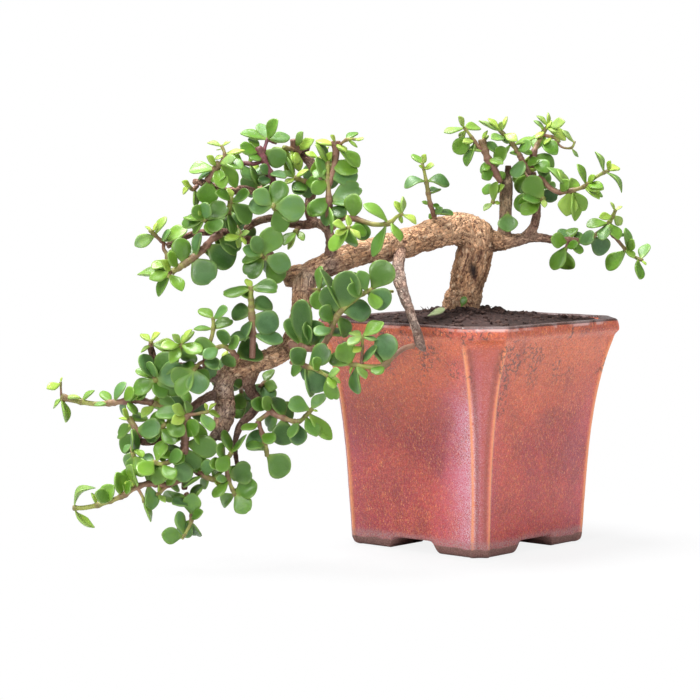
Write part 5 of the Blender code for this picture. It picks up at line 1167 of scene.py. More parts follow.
= 57 -1 190 2, 63 -1 189.5 1.8, 71 -1 189 1.6, 78 -1 192 1.5, 85 -1 197 1.4, 89 -1 202 1.2, 92 -1 208.5 0.8
= 86 -1 196.5 1.2, 91.5 -2 191.5 1.2, 98 -3 184 1.1, 104 -4 179 1, 109 -4 177 0.8
= 62 -2 189 0.8, 61 -3 184 0.8, 58 -4 177 0.7
: 62 188 51.5 190.5 1.15, 63 190 66 198 0.7, 61 186 52 172 0.7, 60 183 61.5 171 1.1, 60 185 68 188 0.8,
68 189 79 192 0.7, 76 191 87.5 182.5 1.1, 88 200 74 199.5 0.5, 91 204 82 204 0.8, 91 205 96 199 0.9,
89 200 94 190 0.9, 98 183 86 171.5 0.85, 98 184 103.5 179 0.7, 100 182 103 190 0.7, 100 183 99 197.5 0.5,
106 178 106 165 0.6, 108 179 112 187 0.6, 109 177 111 174 0.7, 92 208 89 213.5 0.5, 92 208 96 211 0.5,
91 193 98 193 0.5, 66 189 70 181 0.8, 72 189 66 195 0.8, 88 199 84 189 0.7, 63 189 58 197 0.8
""")

# %% [markdown]
# A shoot on the far side is only a foot, a tip and a number of pairs of leaves. Foliage grows in pads, so
# each pad moves the limbs near it forwards or back, and a point that moves in depth keeps its place in
# the front view.

# %% Shoots on the far side, and pads of foliage
BACK_SHOOTS = {
    "crown_back": ((-96.5, -76, 224), (-84, -38, 238), 4),
    "crown_left_back": ((-125, -82, 218), (-132, -50, 231), 4),
    "west_back": ((-137, -86, 193), (-146, -52, 203), 4),
    "fall_back": ((-147, -94, 104), (-150, -60, 118), 4),
    "low_back": ((-167, -97, 93), (-176, -66, 92), 3),
    "riser_back": ((42.5, 2, 214), (50, 34, 226), 4),
}
BOUGH_PLAN = [
    (-245, -104), (-205, -100), (-150, -96), (-103, -88), (-88, -73), (-64, -58), (-40, -38), (-16, -12),
    (6, 0),
]
PAD_SPREAD = 0.8
VIEWER = (-73.7, -1543.0, 237.0)
PADS = [
    (-97, 246, 28, 22), (-152, 230, 26, -12), (-180, 192, 24, 18), (-225, 98, 34, 16), (-204, 62, 28, -12),
    (-143, 40, 24, 14), (56, 262, 24, 16), (86, 230, 22, -14), (100, 184, 24, 14),
]


def in_sight(x, z, depth, new_depth):
    """Where (x, z) goes when its depth changes, for the viewer in front to see it in the same place."""
    scale = (new_depth - VIEWER[1]) / (depth - VIEWER[1])
    return VIEWER[0] + (x - VIEWER[0]) * scale, VIEWER[2] + (z - VIEWER[2]) * scale


def spread(point):
    """Moves a point of the limbs in depth, so that the foliage fills pads instead of a flat fan."""
    x, y, z, radius = point
    path = float(np.interp(x, *zip(*BOUGH_PLAN)))
    swell = sum(shift * math.exp(-((x - px) ** 2 + (z - pz) ** 2) / reach ** 2)
                for px, pz, reach, shift in PADS)
    depth = y + PAD_SPREAD * (y - path) * min(1, max(0, -1 - x / 20)) + swell
    new_x, new_z = in_sight(x, z, y, depth)
    return new_x, depth, new_z, radius


LIMB_LINES = {name: [spread(point) for point in points] for name, points in LIMBS.items()}
print("limbs", len(LIMBS), "shoots", len(SHOOTS) + len(BACK_SHOOTS))

# %% [markdown]
# ## Wood
#
# Trunk and limbs grew as one piece, so they are one mesh. Tubes alone would show seams where limbs part,
# so the tubes are merged by a voxel remesh, which fills each crotch as living wood does. The bark is
# then raised and sunk point by point along its normals: long flakes on thick wood, almost nothing on
# thin twigs.

# %% Sweep a tube along a line
def sweep(points, sides, thickness):
    """Rings along the points and two end caps, each ring with its own share of the line's radius there."""
    centres = [Vector(p[:3]) for p in points]
    ring_points = []
    direction = (centres[1] - centres[0]).normalized()
    across = direction.orthogonal().normalized()
    for i, centre in enumerate(centres):
        ahead = centres[min(i + 1, len(centres) - 1)] - centres[max(i - 1, 0)]
        direction = ahead.normalized()
        across = (across - direction * across.dot(direction)).normalized()
        up = direction.cross(across)
        radius = points[i][3] * thickness[i]
        for side in range(sides):
            turn = math.tau * side / sides
            ring_points.append(centre + (across * math.cos(turn) + up * math.sin(turn)) * radius)
    return ring_points, closed_skin(len(centres), sides)


def finer(points, step):
    """More points along a line, on a smooth curve through the given ones."""
    fine = []
    for i in range(len(points) - 1):
        around = [max(0, min(len(points) - 1, k)) for k in (i - 1, i, i + 1, i + 2)]
        p0, p1, p2, p3 = (np.array(points[k], float) for k in around)
        count = max(1, int(np.linalg.norm(p2[:3] - p1[:3]) / step))
        for k in range(count):
            t = k / count
            curve = spline(p0, p1, p2, p3, t)
            curve[3] = p1[3] + (p2[3] - p1[3]) * t
            fine.append(tuple(curve))
    fine.append(tuple(points[-1]))
    return fine


def segments_of(lines):
    rows = [(*a, *b) for points in lines for a, b in zip(points, points[1:])]
    return np.array(rows, float).reshape(-1, 8)


WOOD_SEGMENTS = segments_of(LIMB_LINES.values())
print("segments of wood", len(WOOD_SEGMENTS))

# %% [markdown]
# The noise of the bark is read at places pulled towards the burl, where the limbs part, so plates run
# along a limb. Its seed is fixed, so each run gives the same bark. A few spots are pale or olive. A few
# are dark, mostly as painted shade under the main bough, under the burl and on the hanging branch, and
# one is the stub's dark top. One dark knot is sunk.

# %% Merge the limbs and raise the bark
WOOD_VOXEL = 0.67
BARK_SEED = 5
BURL = np.array((4.0, -1.0, 195.0))
DARK_KNOT = Vector((3.0, -11.5, 171.0))
WOOD_SIDES = 20
PALE_BARK = [
    (-148, 105, 9), (-147, 92, 10), (-151, 79, 8), (-45, 172, 8), (-42, 159, 8), (-36, 145, 8), (-32, 132, 8),
    (-97, 168, 8), (-85, 177, 6),
]
OLIVE_BARK = [(23.5, 226, 9), (23.5, 212, 9), (23.3, 202, 8)]
# Mostly painted shade: spots under the main bough, under the burl and on the hanging branch, with the stub's
# dark top.
SHADE_AND_DARK_BARK = [
    (-86, 172, 6), (-74, 174.5, 6), (-62, 178, 6), (-51, 180, 5), (-131, 104, 7), (-128, 95, 7),
    (-137, 85, 8), (-141, 72, 9), (-141, 60, 9), (25, 235, 3.5), (-100, 242, 9), (-3, 184, 4.5),
    (7, 181, 5), (15, 184, 5),
]


def merged_wood():
    points, faces = [], []
    for name, limb in LIMB_LINES.items():
        line = finer(limb, 2.2)
        shift = len(name) * 3.7
        uneven = [1 + 0.10 * noise.noise((i * 0.16, shift, 0.5)) + 0.05 * noise.noise((i * 0.5, shift, 4.0))
                  for i in range(len(line))]
        rings, skin = sweep(line, WOOD_SIDES, uneven)
        faces += [tuple(len(points) + i for i in face) for face in skin]
        points += rings
    blank = helper_object("wood_blank", skin_mesh(points, faces))
    remesh = blank.modifiers.new("merge", "REMESH")
    remesh.mode = "VOXEL"
    remesh.voxel_size = WOOD_VOXEL
    soften = blank.modifiers.new("soften", "SMOOTH")
    soften.factor = 0.5
    soften.iterations = 3
    mesh = evaluated_mesh(blank)
    bpy.data.objects.remove(blank)
    return mesh


def nearest_wood(points):
    """For each point, the direction and the radius of the limb that it is on."""
    start, end = WOOD_SEGMENTS[:, :3], WOOD_SEGMENTS[:, 4:7]
    along = end - start
    length = (along * along).sum(-1)
    directions, radii = [], []
    for chunk in np.array_split(points, max(1, len(points) // 4000)):
        offset = chunk[:, None, :] - start[None]
        share = np.clip((offset * along).sum(-1) / length, 0, 1)
        near = offset - share[..., None] * along
        radius = WOOD_SEGMENTS[:, 3] + share * (WOOD_SEGMENTS[:, 7] - WOOD_SEGMENTS[:, 3])
        best = (np.sqrt((near * near).sum(-1)) - radius).argmin(axis=1)
        rows = np.arange(len(chunk))
        directions.append(along[best] / np.sqrt(length[best])[:, None])
        radii.append(radius[rows, best])
    return np.concatenate(directions), np.concatenate(radii)


def bark_height(p, drawn, radius):
    """How far the bark stands out here, in millimetres, and a 0 to 1 value of how raised it is."""
    size = 0.9 + 0.075 * radius
    bent = drawn + noise.noise_vector(p / 4) * 1.3
    near, second = noise.voronoi(bent / (size * 1.7))[0][:2]
    plate = min(1.0, (second - near) * 2.4)
    flake = noise.noise(drawn / (size * 1.1) + Vector((9, 2, 5)))
    crumb = noise.noise(p / (0.55 * size) + Vector((1, 7, 3)))
    fine = noise.noise(p / 0.62)
    lumps = noise.noise(p / (3 + 0.8 * radius))
    depth = 0.07 + 0.095 * min(radius, 11)
    raised = 0.45 * (plate - 0.5) + 0.55 * flake + 0.5 * crumb + 0.3 * fine
    return depth * (raised + 0.7 * lumps), min(1.0, max(0.0, 0.5 + 0.95 * raised))


def near_any(point, spots):
    """How close a point is, in front view, to any of the spots (x, z, reach), from 0 to 1."""
    return max(math.exp(-((point[0] - x) ** 2 + (point[2] - z) ** 2) / reach ** 2) for x, z, reach in spots)


def make_wood(finish):
    noise.seed_set(BARK_SEED)
    points, normals, faces = mesh_arrays(merged_wood())
    count = len(points)
    directions, radii = nearest_wood(points)
    values = {key: np.zeros(count) for key in ("relief", "knot", "pale", "olive", "dark")}
    run = ((points - BURL) * directions).sum(axis=1)
    drawn = points - 0.6 * run[:, None] * directions
    for i in range(count):
        lift, values["relief"][i] = bark_height(Vector(points[i]), Vector(drawn[i]), radii[i])
        offset = Vector(points[i]) - DARK_KNOT
        knot = math.exp(-(offset.x / 2.5) ** 4 - (offset.y / 9.0) ** 4
                        - ((offset.z + 0.5 * offset.x) / 4.8) ** 4)
        values["knot"][i] = knot
        values["pale"][i] = near_any(points[i], PALE_BARK)
        values["olive"][i] = near_any(points[i], OLIVE_BARK)
        values["dark"][i] = near_any(points[i], SHADE_AND_DARK_BARK)
        smooth_skin = 0.75 * values["olive"][i]
        values["relief"][i] += smooth_skin * (0.45 - values["relief"][i])
        points[i] += normals[i] * (lift * (1 - smooth_skin) - 1.6 * knot)
    # low is a painted shade mask: 1 below 160 mm, fading out by 188 mm.
    values.update(girth=radii, low=1 - np.clip((points[:, 2] - 160) / 28, 0, 1))
    values.update(zip(("drawn_x", "drawn_y", "drawn_z"), drawn.T * MM))
    piece_from("trunk_and_limbs", points, faces, [finish], "bark", ["trunk"], values=values)
    print("wood", len(faces), "faces")


# %% [markdown]
# Old bark is tan with brown cracks and pale flakes; twigs under 4 mm have a smoother red-brown skin.
# Both come from one material that reads each point's girth and relief, so a limb changes from one to the
# other along its length.

# %% Bark material
def make_bark():
    made, n, shader = new_material("flaking_bark")
    place = n.place()
    relief, girth = n.attribute("relief"), n.attribute("girth")
    cloud = clouds(n, place, 45.0, 0.36, 0.64)
    patch = clouds(n, place, 160.0, 0.4, 0.66)
    drawn = n.add("ShaderNodeCombineXYZ", None, X=n.attribute("drawn_x"), Y=n.attribute("drawn_y"),
                  Z=n.attribute("drawn_z")).outputs[0]
    plates = flakes(n, drawn, 400.0, 0.0024)
    crumbs = flakes(n, drawn, 1000.0, 0.0009)
    thick = n.between(girth, 3.2, 6.5)
    tan = n.mix(cloud, (0.62, 0.34, 0.18), (0.88, 0.54, 0.32))
    twig = n.mix(cloud, (0.26, 0.135, 0.095), (0.42, 0.27, 0.19))
    body = n.mix(thick, twig, tan)
    body = n.over(body, n.attribute("pale"), 0.85, n.mix(patch, (0.52, 0.37, 0.30), (0.70, 0.56, 0.47)))
    body = n.over(body, n.attribute("olive"), 0.8, n.mix(patch, (0.19, 0.15, 0.085), (0.42, 0.34, 0.22)))
    # Painted shade, mostly: the dark spots darken the bark under the main bough and the burl.
    body = n.over(body, n.attribute("dark"), 0.65, n.mix(patch, (0.07, 0.035, 0.025), (0.16, 0.09, 0.06)))
    colour = n.shaded(body, n.total(0.55, n.product(plates["Shade"], 0.8)))
    colour = n.shaded(colour, n.total(0.8, n.product(crumbs["Shade"], 0.4)))
    # Painted shade: the wood is darker lower down, under the canopy.
    colour = n.shaded(colour, n.rest(n.product(n.attribute("low"), 0.25)))
    pale = n.product(n.between(relief, 0.5, 0.85), n.total(0.2, n.product(patch, 0.6)))
    colour = n.mix(n.product(pale, thick), colour, (0.86, 0.62, 0.42))
    rust = n.product(n.between(plates["Shade"], 0.72, 0.95), n.product(cloud, thick))
    colour = n.over(colour, rust, 0.6, (0.50, 0.22, 0.10))
    crack = n.maths("MAXIMUM", n.rest(n.between(relief, 0.08, 0.36)),
                    n.product(plates["Gap"], n.rest(n.product(n.attribute("olive"), 0.4), 0.5)))
    colour = n.over(colour, crack, 0.85, (0.09, 0.034, 0.026))
    colour = n.over(colour, n.attribute("knot"), 0.97, (0.014, 0.011, 0.014))
    height = n.total(plates["Height"], n.product(crumbs["Height"], 0.5))
    finish_shader(n, shader, {"Base Color": colour, "Normal": n.bump(height, 0.0011, 0.9)},
                  {"Roughness": 0.85, "Specular IOR Level": 0.3})
    return made


make_wood(make_bark())

# %% [markdown]
# ## Where the leaves stand
#
# Each leaf knows its node and where its tip shows from the front. How far it leans towards or away from
# the viewer is free, so the leaves of one shoot take turns leaning forwards and back, and where a leaf
# would meet the wood or a neighbour it tries the next lean. This is the same search that placed the
# solid leaves.

# %% Clearances
CLEARANCE = 0.35
LEAF_THICK = 2.1
LEAF_WIDEST = 14.2
LEAF_WIDTH = 0.86
GROWN_LEAF = 14.5
LEAF_RING = 6
SMALL_LEAF = 11.5
GOLDEN_TURN = 2.39996
SOIL_TOP = 149.5
TRY_AT = (40, 0, 170)


def clearance_to(segments, points):
    """The least distance from any of the points to the surface of any tapered segment."""
    start, end = segments[:, :3], segments[:, 4:7]
    along = end - start
    offset = points[:, None, :] - start[None]
    share = np.clip((offset * along).sum(-1) / (along * along).sum(-1), 0, 1)
    near = offset - share[..., None] * along
    radius = segments[:, 3] + share * (segments[:, 7] - segments[:, 3])
    return float((np.sqrt((near * near).sum(-1)) - radius).min())


def trimmed(points, segments):
    """The stem from where its whole end stands clear of the wood that it grows from."""
    dense = []
    for a, b in zip(points, points[1:]):
        steps = max(2, int(math.dist(a[:3], b[:3]) / 0.5))
        dense += [[p + (q - p) * i / steps for p, q in zip(a, b)] for i in range(steps)]
    dense.append(list(points[-1]))
    for i, point in enumerate(dense[:-1]):
        centre = np.array([point[:3]])
        if clearance_to(segments, centre) > point[3] + CLEARANCE:
            break
    start = points[0][:3]
    passed = [p for p in points if math.dist(p[:3], start) > math.dist(point[:3], start) + 0.5]
    return [tuple(point)] + (passed or [points[-1]])


def nearest_on(stems, x, z):
    """The point of the stems that is nearest to (x, z) in front view."""
    best = None
    for points in stems:
        for i, (a, b) in enumerate(zip(points, points[1:])):
            run = (b[0] - a[0], b[2] - a[2])
            length = max(1e-9, run[0] ** 2 + run[1] ** 2)
            end = min(0.45, 0.9 / math.dist(a[:3], b[:3]))
            first = end if i == 0 else 0
            last = 1 - end if i == len(points) - 2 else 1
            share = min(last, max(first, ((x - a[0]) * run[0] + (z - a[2]) * run[1]) / length))
            at = [p + (q - p) * share for p, q in zip(a, b)]
            miss = math.hypot(at[0] - x, at[2] - z)
            if best is None or miss < best[0] - 1e-6:
                best = (miss, Vector(at[:3]))
    return best[1]


def leaf_in_depth(stems, leaf):
    """A leaf's row, moved with the stem that carries it when that stem is spread in depth."""
    node = nearest_on(stems, *leaf[:2])
    depth = spread((*node, 0))[1]
    return (*in_sight(*leaf[:2], node.y, depth), *in_sight(*leaf[2:4], node.y, depth), *leaf[4:])


print("room beside the trunk at", TRY_AT, round(clearance_to(WOOD_SEGMENTS, np.array([TRY_AT])), 2))

# %% [markdown]
# A leaf's frame is its foot, three axes, its length and width, and how far it arches. A shoot that was
# drawn from the front gives the frame from where the tip shows. A shoot on the far side has pairs of
# leaves instead, each pair at right angles to the one before.

# %% The frame of a leaf
def leaf_frame(base, leaf, index, lean_shift, roll_shift):
    """Origin, axes, size and arch of a leaf, worked out from where its tip shows in front view."""
    tip_x, tip_z = leaf[2:4]
    share = leaf[4] if len(leaf) > 4 else 0.92
    arch = leaf[5] if len(leaf) > 5 else 0.0
    shown = math.hypot(tip_x - base.x, tip_z - base.z)
    swing = math.sin(GOLDEN_TURN * index)
    grown = min(GROWN_LEAF, 1.5 * shown) if share > 0.5 else shown
    hidden = 0.8 * math.sqrt(max(0, grown * grown - shown * shown))
    lean = lean_shift + 0.2 * shown * swing + math.copysign(hidden, swing - 0.35)
    tip_x, tip_z = in_sight(tip_x, tip_z, base.y, base.y + lean)
    axis = Vector((tip_x - base.x, lean, tip_z - base.z))
    length = axis.length
    axis.normalize()
    front = Vector((0, -1, 0))
    front = (front - axis * front.dot(axis)).normalized()
    skyward = axis.cross(front).z + 0.3 * swing
    roll = math.copysign(math.acos(min(1, share)), skyward) + roll_shift
    normal = Matrix.Rotation(roll, 3, axis) @ front
    side = normal.cross(axis)
    width = min(LEAF_WIDTH * (shown + length) / 2, LEAF_WIDEST) * max(1.0, share)
    return base, axis, side, normal, length, width, arch


def crossed_frame(foot, tip, pairs, number, twist, size):
    """The leaf of one side of a pair, along a shoot that carries its pairs at right angles to each other."""
    along = (tip - foot).normalized()
    flat = along.cross(Vector((0, 0, 1))).normalized()
    node, side = divmod(number, 2)
    share = 0.3 + 0.64 * node / (pairs - 1)
    turn = math.radians(90 * node + 180 * side + 20 + twist)
    out = Matrix.Rotation(turn, 3, along) @ flat
    axis = (out + along * (0.35 + 0.5 * share)).normalized()
    length = (15.5 - 7 * share) * size
    normal = along.cross(axis).cross(axis).normalized() * (-1 if node % 2 else 1)
    return foot.lerp(tip, share), axis, normal.cross(axis), normal, length, LEAF_WIDTH * length, 0.0


# %% [markdown]
# To test a place, the leaf is a flat double cone of a few points, as in the solid model. That is enough
# to measure how near it comes to the wood, to the pot and to other leaves.

# %% A cage to test with
def leaf_cage(frame, grow=0.0):
    """A flat double cone: a ring of points, narrow at the stem, and a blade centre on each side."""
    base, axis, side, normal, length, width, arch = frame
    thick = LEAF_THICK * min(1, length / 12) + 2 * grow
    bm = bmesh.new()
    ring = LEAF_RING if length > SMALL_LEAF else LEAF_RING - 1
    bmesh.ops.create_uvsphere(bm, u_segments=ring, v_segments=2, radius=1)
    turn = math.pi - min(math.atan2(v.co.y, v.co.x) % math.tau for v in bm.verts if abs(v.co.z) < 0.5)
    for vert in bm.verts:
        if abs(vert.co.z) > 0.5:
            along, across, over = 0.55, 0.0, vert.co.z * thick / 2
        else:
            angle = math.atan2(vert.co.y, vert.co.x) + turn
            along = 0.5 + 0.5 * math.cos(angle)
            across = math.sin(angle) * (0.62 + 0.5 * along) * (width / 2 + grow)
            over = 0.0
        over += 4 * arch * length * along * (1 - along)
        vert.co = base + axis * (along * (length + 2 * grow) - grow) + side * across + normal * over
    return bm


def leaf_points(bm):
    """The corners of a leaf and points along its edges, to measure clearances with."""
    rows = [v.co for v in bm.verts]
    for edge in bm.edges:
        rows += [edge.verts[0].co.lerp(edge.verts[1].co, step / 5) for step in range(1, 5)]
    return np.array([tuple(r) for r in rows])


def beside_pot(points):
    """True where no point is inside the pot or the soil."""
    u, v = turned(points[:, 0], points[:, 1], -POT_TURN)
    across = np.maximum(abs(u), abs(v))
    height = points[:, 2]
    share = np.clip(height / LIP_FOOT, 0, 1)
    wall = BASE_HALF + BASE_FLARE * share + (RIM_HALF - BASE_HALF - BASE_FLARE) * share ** WALL_SWEEP + 1.5
    return bool(((across > wall) | (height > SOIL_TOP + 2)).all())


# %% [markdown]
# The search tries each lean and roll in turn and keeps the first that is clear. A leaf without any room
# is left out, and its shoot says so.

# %% The search
LEAN_SHIFTS = (0, -3, 3, -6, 6, -9, 9, -12, 12)
ROLL_SHIFTS = (0, 0.5, -0.5)
TWISTS = (0, 20, -20, 40, -40)
SIZES = (1, 0.8, 0.65)
print("ways to try for each leaf", len(LEAN_SHIFTS) * len(ROLL_SHIFTS))


def front_choices(stems, leaves):
    """For each leaf, the ways it can stand that show the same tip in front view."""
    for index, leaf in enumerate(leaves):
        base = nearest_on(stems, *leaf[:2])
        yield [leaf_frame(base, leaf, index, shift, roll) for shift in LEAN_SHIFTS for roll in ROLL_SHIFTS]


def back_choices(stems, pairs):
    foot, tip = Vector(stems[0][0][:3]), Vector(stems[0][-1][:3])
    for number in range(2 * pairs):
        yield [crossed_frame(foot, tip, pairs, number, twist, size) for size in SIZES for twist in TWISTS]


def first_clear(choices, name, blocks, placed):
    """The first way a leaf can stand without meeting the wood, the pot or another shoot."""
    for frame in choices:
        bm = leaf_cage(frame, CLEARANCE / 2)
        points = leaf_points(bm)
        tree = BVHTree.FromBMesh(bm)
        bm.free()
        base, axis, length = frame[0], frame[1], frame[4]
        far = points[(points - np.array(base)) @ np.array(axis) > 2.5]
        if clearance_to(blocks, far) < CLEARANCE or not beside_pot(points):
            continue
        centre, reach = base + axis * length / 2, length * 0.75 + 1
        near = [t for c, r, own, t in placed if own != name and (centre - c).length < reach + r]
        if not any(tree.overlap(t) for t in near):
            placed.append((centre, reach, name, tree))
            return frame
    return None


def place_leaves(shoots, wood):
    placed, chosen = [], {}
    for name, (stems, leaves) in shoots.items():
        others = segments_of([s for other, (lines, _) in shoots.items() if other != name for s in lines])
        blocks = np.concatenate([wood, others])
        choices = back_choices(stems, leaves) if name in BACK_SHOOTS else front_choices(stems, leaves)
        frames = [first_clear(ways, name, blocks, placed) for ways in choices]
        chosen[name] = [frame for frame in frames if frame]
        if len(chosen[name]) < len(frames):
            print(name, "has no room for", len(frames) - len(chosen[name]), "leaves")
    return chosen


# %% [markdown]
# Stems are cut back to where they leave the wood, for the measuring only: the visible stem runs on into
# its limb.

# %% Place every leaf
def plan_shoots():
    shoots, whole_stems = {}, {}
    for name, (stems, leaves) in SHOOTS.items():
        lines = [[spread(point) for point in points] for points in stems]
        whole_stems[name] = lines
        first = trimmed(lines[0], WOOD_SEGMENTS)
        shoots[name] = ([first] + lines[1:], [leaf_in_depth(stems, leaf) for leaf in leaves])
    for name, (foot, tip, pairs) in BACK_SHOOTS.items():
        middle = [(a + b) / 2 for a, b in zip(foot, tip)]
        line = [spread((*foot, 1.5)), spread((*middle[:2], middle[2] + 1, 1.3)), spread((*tip, 0.9))]
        whole_stems[name] = [line]
        shoots[name] = ([trimmed(line, WOOD_SEGMENTS)], pairs)
    return whole_stems, place_leaves(shoots, WOOD_SEGMENTS)


WHOLE_STEMS, LEAF_FRAMES = plan_shoots()
print("leaves", sum(len(frames) for frames in LEAF_FRAMES.values()))

# %% [markdown]
# ## The leaf
#
# An elephant bush leaf is a small fleshy spoon: narrow where it leaves the stem, nearly round beyond,
# two millimetres thick with a rounded margin, and a little cupped. A flat plane with a texture would
# look like paper, so the blade is a closed mesh, a skin of rings around its outline: the ring at each
# step along the leaf is a flattened oval, which is widest two thirds of the way along.

# %% Leaf blade
LEAF_STEPS = 14
LEAF_AROUND = 16
WIDEST_AT = 0.62


def half_width(u, wedge, point):
    """Share of the half width at u, from 0 at the stem to 1 at the tip."""
    if u < WIDEST_AT:
        return 0.11 + 0.89 * math.sin(math.pi / 2 * u / WIDEST_AT) ** wedge
    beyond = (u - WIDEST_AT) / (1 - WIDEST_AT)
    return max(0.0, 1 - beyond ** (2.3 - 0.9 * point)) ** (0.5 + 0.3 * point)


def leaf_habit(seed, age):
    """How one leaf differs from the next: its bend, cup, fold, twist, wave, wedge, point and notch."""
    rng = np.random.default_rng(seed)
    young = 1 - age
    return {
        "bend": rng.normal(0.03, 0.07),
        "cup": rng.normal(0.05, 0.05),
        "fold": abs(rng.normal(0, 0.05)) + 0.05 * young,
        "twist": rng.normal(0, 0.22),
        "wave": rng.normal(0, 0.02),
        "phase": rng.random() * math.tau,
        "wedge": 1.05 + 0.5 * rng.random() + 0.2 * young,
        "point": min(1.0, rng.random() ** 2 * 0.6 + 0.9 * young ** 2),
        "notch": 0.07 if rng.random() < 0.22 and age > 0.5 else 0.0,
        "slim": (0.92 + 0.16 * rng.random()) * (1 - 0.3 * young),
        "body": 0.85 + 0.3 * rng.random(),
        "bloom": rng.random(),
    }


def blade(frame, habit):
    """Points and faces of one leaf, with how far along and how near the margin each point is."""
    base, axis, side, normal, length, width, arch = frame
    width *= habit["slim"]
    thick = LEAF_THICK * habit["body"] * min(1, length / 11)
    points, along, margin = [], [], []
    for step in range(LEAF_STEPS + 1):
        u = 0.5 - 0.5 * math.cos(math.pi * (0.04 + 0.96 * step / LEAF_STEPS))
        reach = half_width(min(u, 0.9993), habit["wedge"], habit["point"]) * width / 2
        body = thick / 2 * (0.4 + 0.6 * smooth(0, 0.35, u)) * (1 - 0.55 * smooth(0.7, 1.0, u))
        rise = habit["bend"] * length * (0.35 * u - u * u) + 4 * arch * length * u * (1 - u)
        lean = habit["twist"] * u
        open_up = smooth(0.05, 0.4, u)
        for k in range(LEAF_AROUND):
            turn = math.tau * k / LEAF_AROUND
            x = math.cos(turn) * reach
            share = x / (width / 2)
            y = math.copysign(abs(math.sin(turn)) ** 0.75, math.sin(turn)) * min(body, max(reach, 0.12))
            y += width * open_up * (habit["cup"] * share * share + habit["fold"] * (abs(share) - 0.35))
            y += width * habit["wave"] * math.sin(7 * u + habit["phase"]) * share
            dent = habit["notch"] * math.exp(-(share / 0.22) ** 2) * smooth(0.82, 1.0, u)
            across, over = x * math.cos(lean) - y * math.sin(lean), x * math.sin(lean) + y * math.cos(lean)
            points.append(base + axis * ((u - dent) * length) + side * across + normal * (over + rise))
            along.append(u)
            margin.append(max(abs(math.cos(turn)) ** 7, smooth(0.93, 1.0, u)))
    return points, closed_skin(LEAF_STEPS + 1, LEAF_AROUND), along, margin


# %% [markdown]
# ## Leafy shoots
#
# One shoot is one mesh of stems and leaves. A stem swells a little at every node, which is where its
# leaves sit. Each point keeps the age of what it belongs to, from 0 for the newest leaf at a tip to 1
# for old growth, and the finish turns that into colour.

# %% Build a shoot
STEM_SIDES = 10
NODE_SWELL = 0.38
NODE_REACH = 1.3
USUAL_RIPENESS = 0.8
YOUNG_SHOOTS = {
    "crown_sprout": 0.1, "east_rise": 0.45, "nw_tip": 0.2, "nw_end": 0.3, "far_west": 0.4, "yellow_bud": 0.05,
    "yellow_post": 0.5, "stub_side": 0.25, "riser_top": 0.0, "east_branch": 0.45, "west_reach": 0.35,
    "sw_reach": 0.3, "post_top": 0.3, "tail": 0.55, "foot_leaf": 0.3, "left_fork": 0.2, "mid_fork": 0.1,
    "inner_east": 0.5, "twig_foot": 0.6, "red_reach": 0.55, "east_reach": 0.35, "east_arm": -0.1,
    # crown_face is set past ripe, so its leaves take the dark old colour as painted shade.
    "purple": 0.7, "west_gable": 0.6, "crown_face": 1.1, "burl_leaf": 1.2,
}


def leaf_age(name, frame, stems, number):
    """Old near the foot of a shoot, young and small near its tips."""
    size = smooth(6, 15, frame[4])
    tips = [Vector(points[-1][:3]) for points in stems]
    near_tip = min((frame[0] - tip).length for tip in tips)
    age = 0.5 * size + 0.5 * smooth(1.5, 22, near_tip)
    ripe = YOUNG_SHOOTS.get(name, USUAL_RIPENESS)
    jitter = 0.16 * math.sin(number * 12.9898 + len(name) * 78.233)
    budding = (1 - smooth(2, 9, near_tip)) * (1 - smooth(8, 15, frame[4]))
    return min(1.0, max(0.0, age * 0.6 + ripe * 0.55 - 0.1 + jitter - 0.55 * budding))


def node_share(point, nodes):
    """How near the point is to a node, from 0 to 1."""
    return max([math.exp(-((point - node).length / NODE_REACH) ** 2) for node in nodes] or [0])


def shoot_mesh(name, stems, frames):
    points, faces, finish = [], [], []
    values = {"age": [], "along": [], "margin": [], "girth": [], "tint": [], "bloom": []}
    nodes = [frame[0] for frame in frames]
    for line in stems:
        fine = finer(line, 1.1)
        swell = [1 + NODE_SWELL * node_share(Vector(point[:3]), nodes) for point in fine]
        ring, ring_faces = sweep(fine, STEM_SIDES, swell)
        start = len(points)
        points += ring
        faces += [tuple(start + i for i in face) for face in ring_faces]
        finish += [1] * len(ring_faces)
        for i, p in enumerate(fine):
            for _ in range(STEM_SIDES):
                values["age"].append(1 - i / len(fine))
                values["girth"].append(p[3])
                values["along"].append(swell[i] - 1)
                values["margin"].append(0)
                values["tint"].append(1.0 if name == "purple" else 0.5)
                values["bloom"].append(0.5)
    for number, frame in enumerate(frames):
        seed = number * 131 + sum(ord(letter) for letter in name)
        age = leaf_age(name, frame, stems, number)
        habit = leaf_habit(seed, age)
        leaf, leaf_faces, along, margin = blade(frame, habit)
        start = len(points)
        points += leaf
        faces += [tuple(start + i for i in face) for face in leaf_faces]
        finish += [0] * len(leaf_faces)
        values["age"] += [age] * len(leaf)
        values["along"] += along
        values["margin"] += margin
        values["girth"] += [1.0] * len(leaf)
        values["tint"] += [0.5 + 0.5 * math.sin(seed * 1.7)] * len(leaf)
        values["bloom"] += [habit["bloom"]] * len(leaf)
    return points, faces, finish, values


def make_shoots(leaf_finish, stem_finish):
    slots = {entry["node"]: entry["material_slot"] for entry in frame["record"]["subparts"]}
    total = 0
    for name, frames in LEAF_FRAMES.items():
        points, faces, finish, values = shoot_mesh(name, WHOLE_STEMS[name], frames)
        piece_from(f"shoot_{name}", points, faces, [leaf_finish, stem_finish], slots[name], [name],
                   face_finish=finish, values=values)
        total += len(faces)
    print("shoots", len(LEAF_FRAMES), "faces", total)


# %% [markdown]
# Young leaves are yellow-green, old ones dark, and some have a dull waxy bloom. The margin is a little
# paler. Flesh lets a little light through, so the shader has some subsurface.

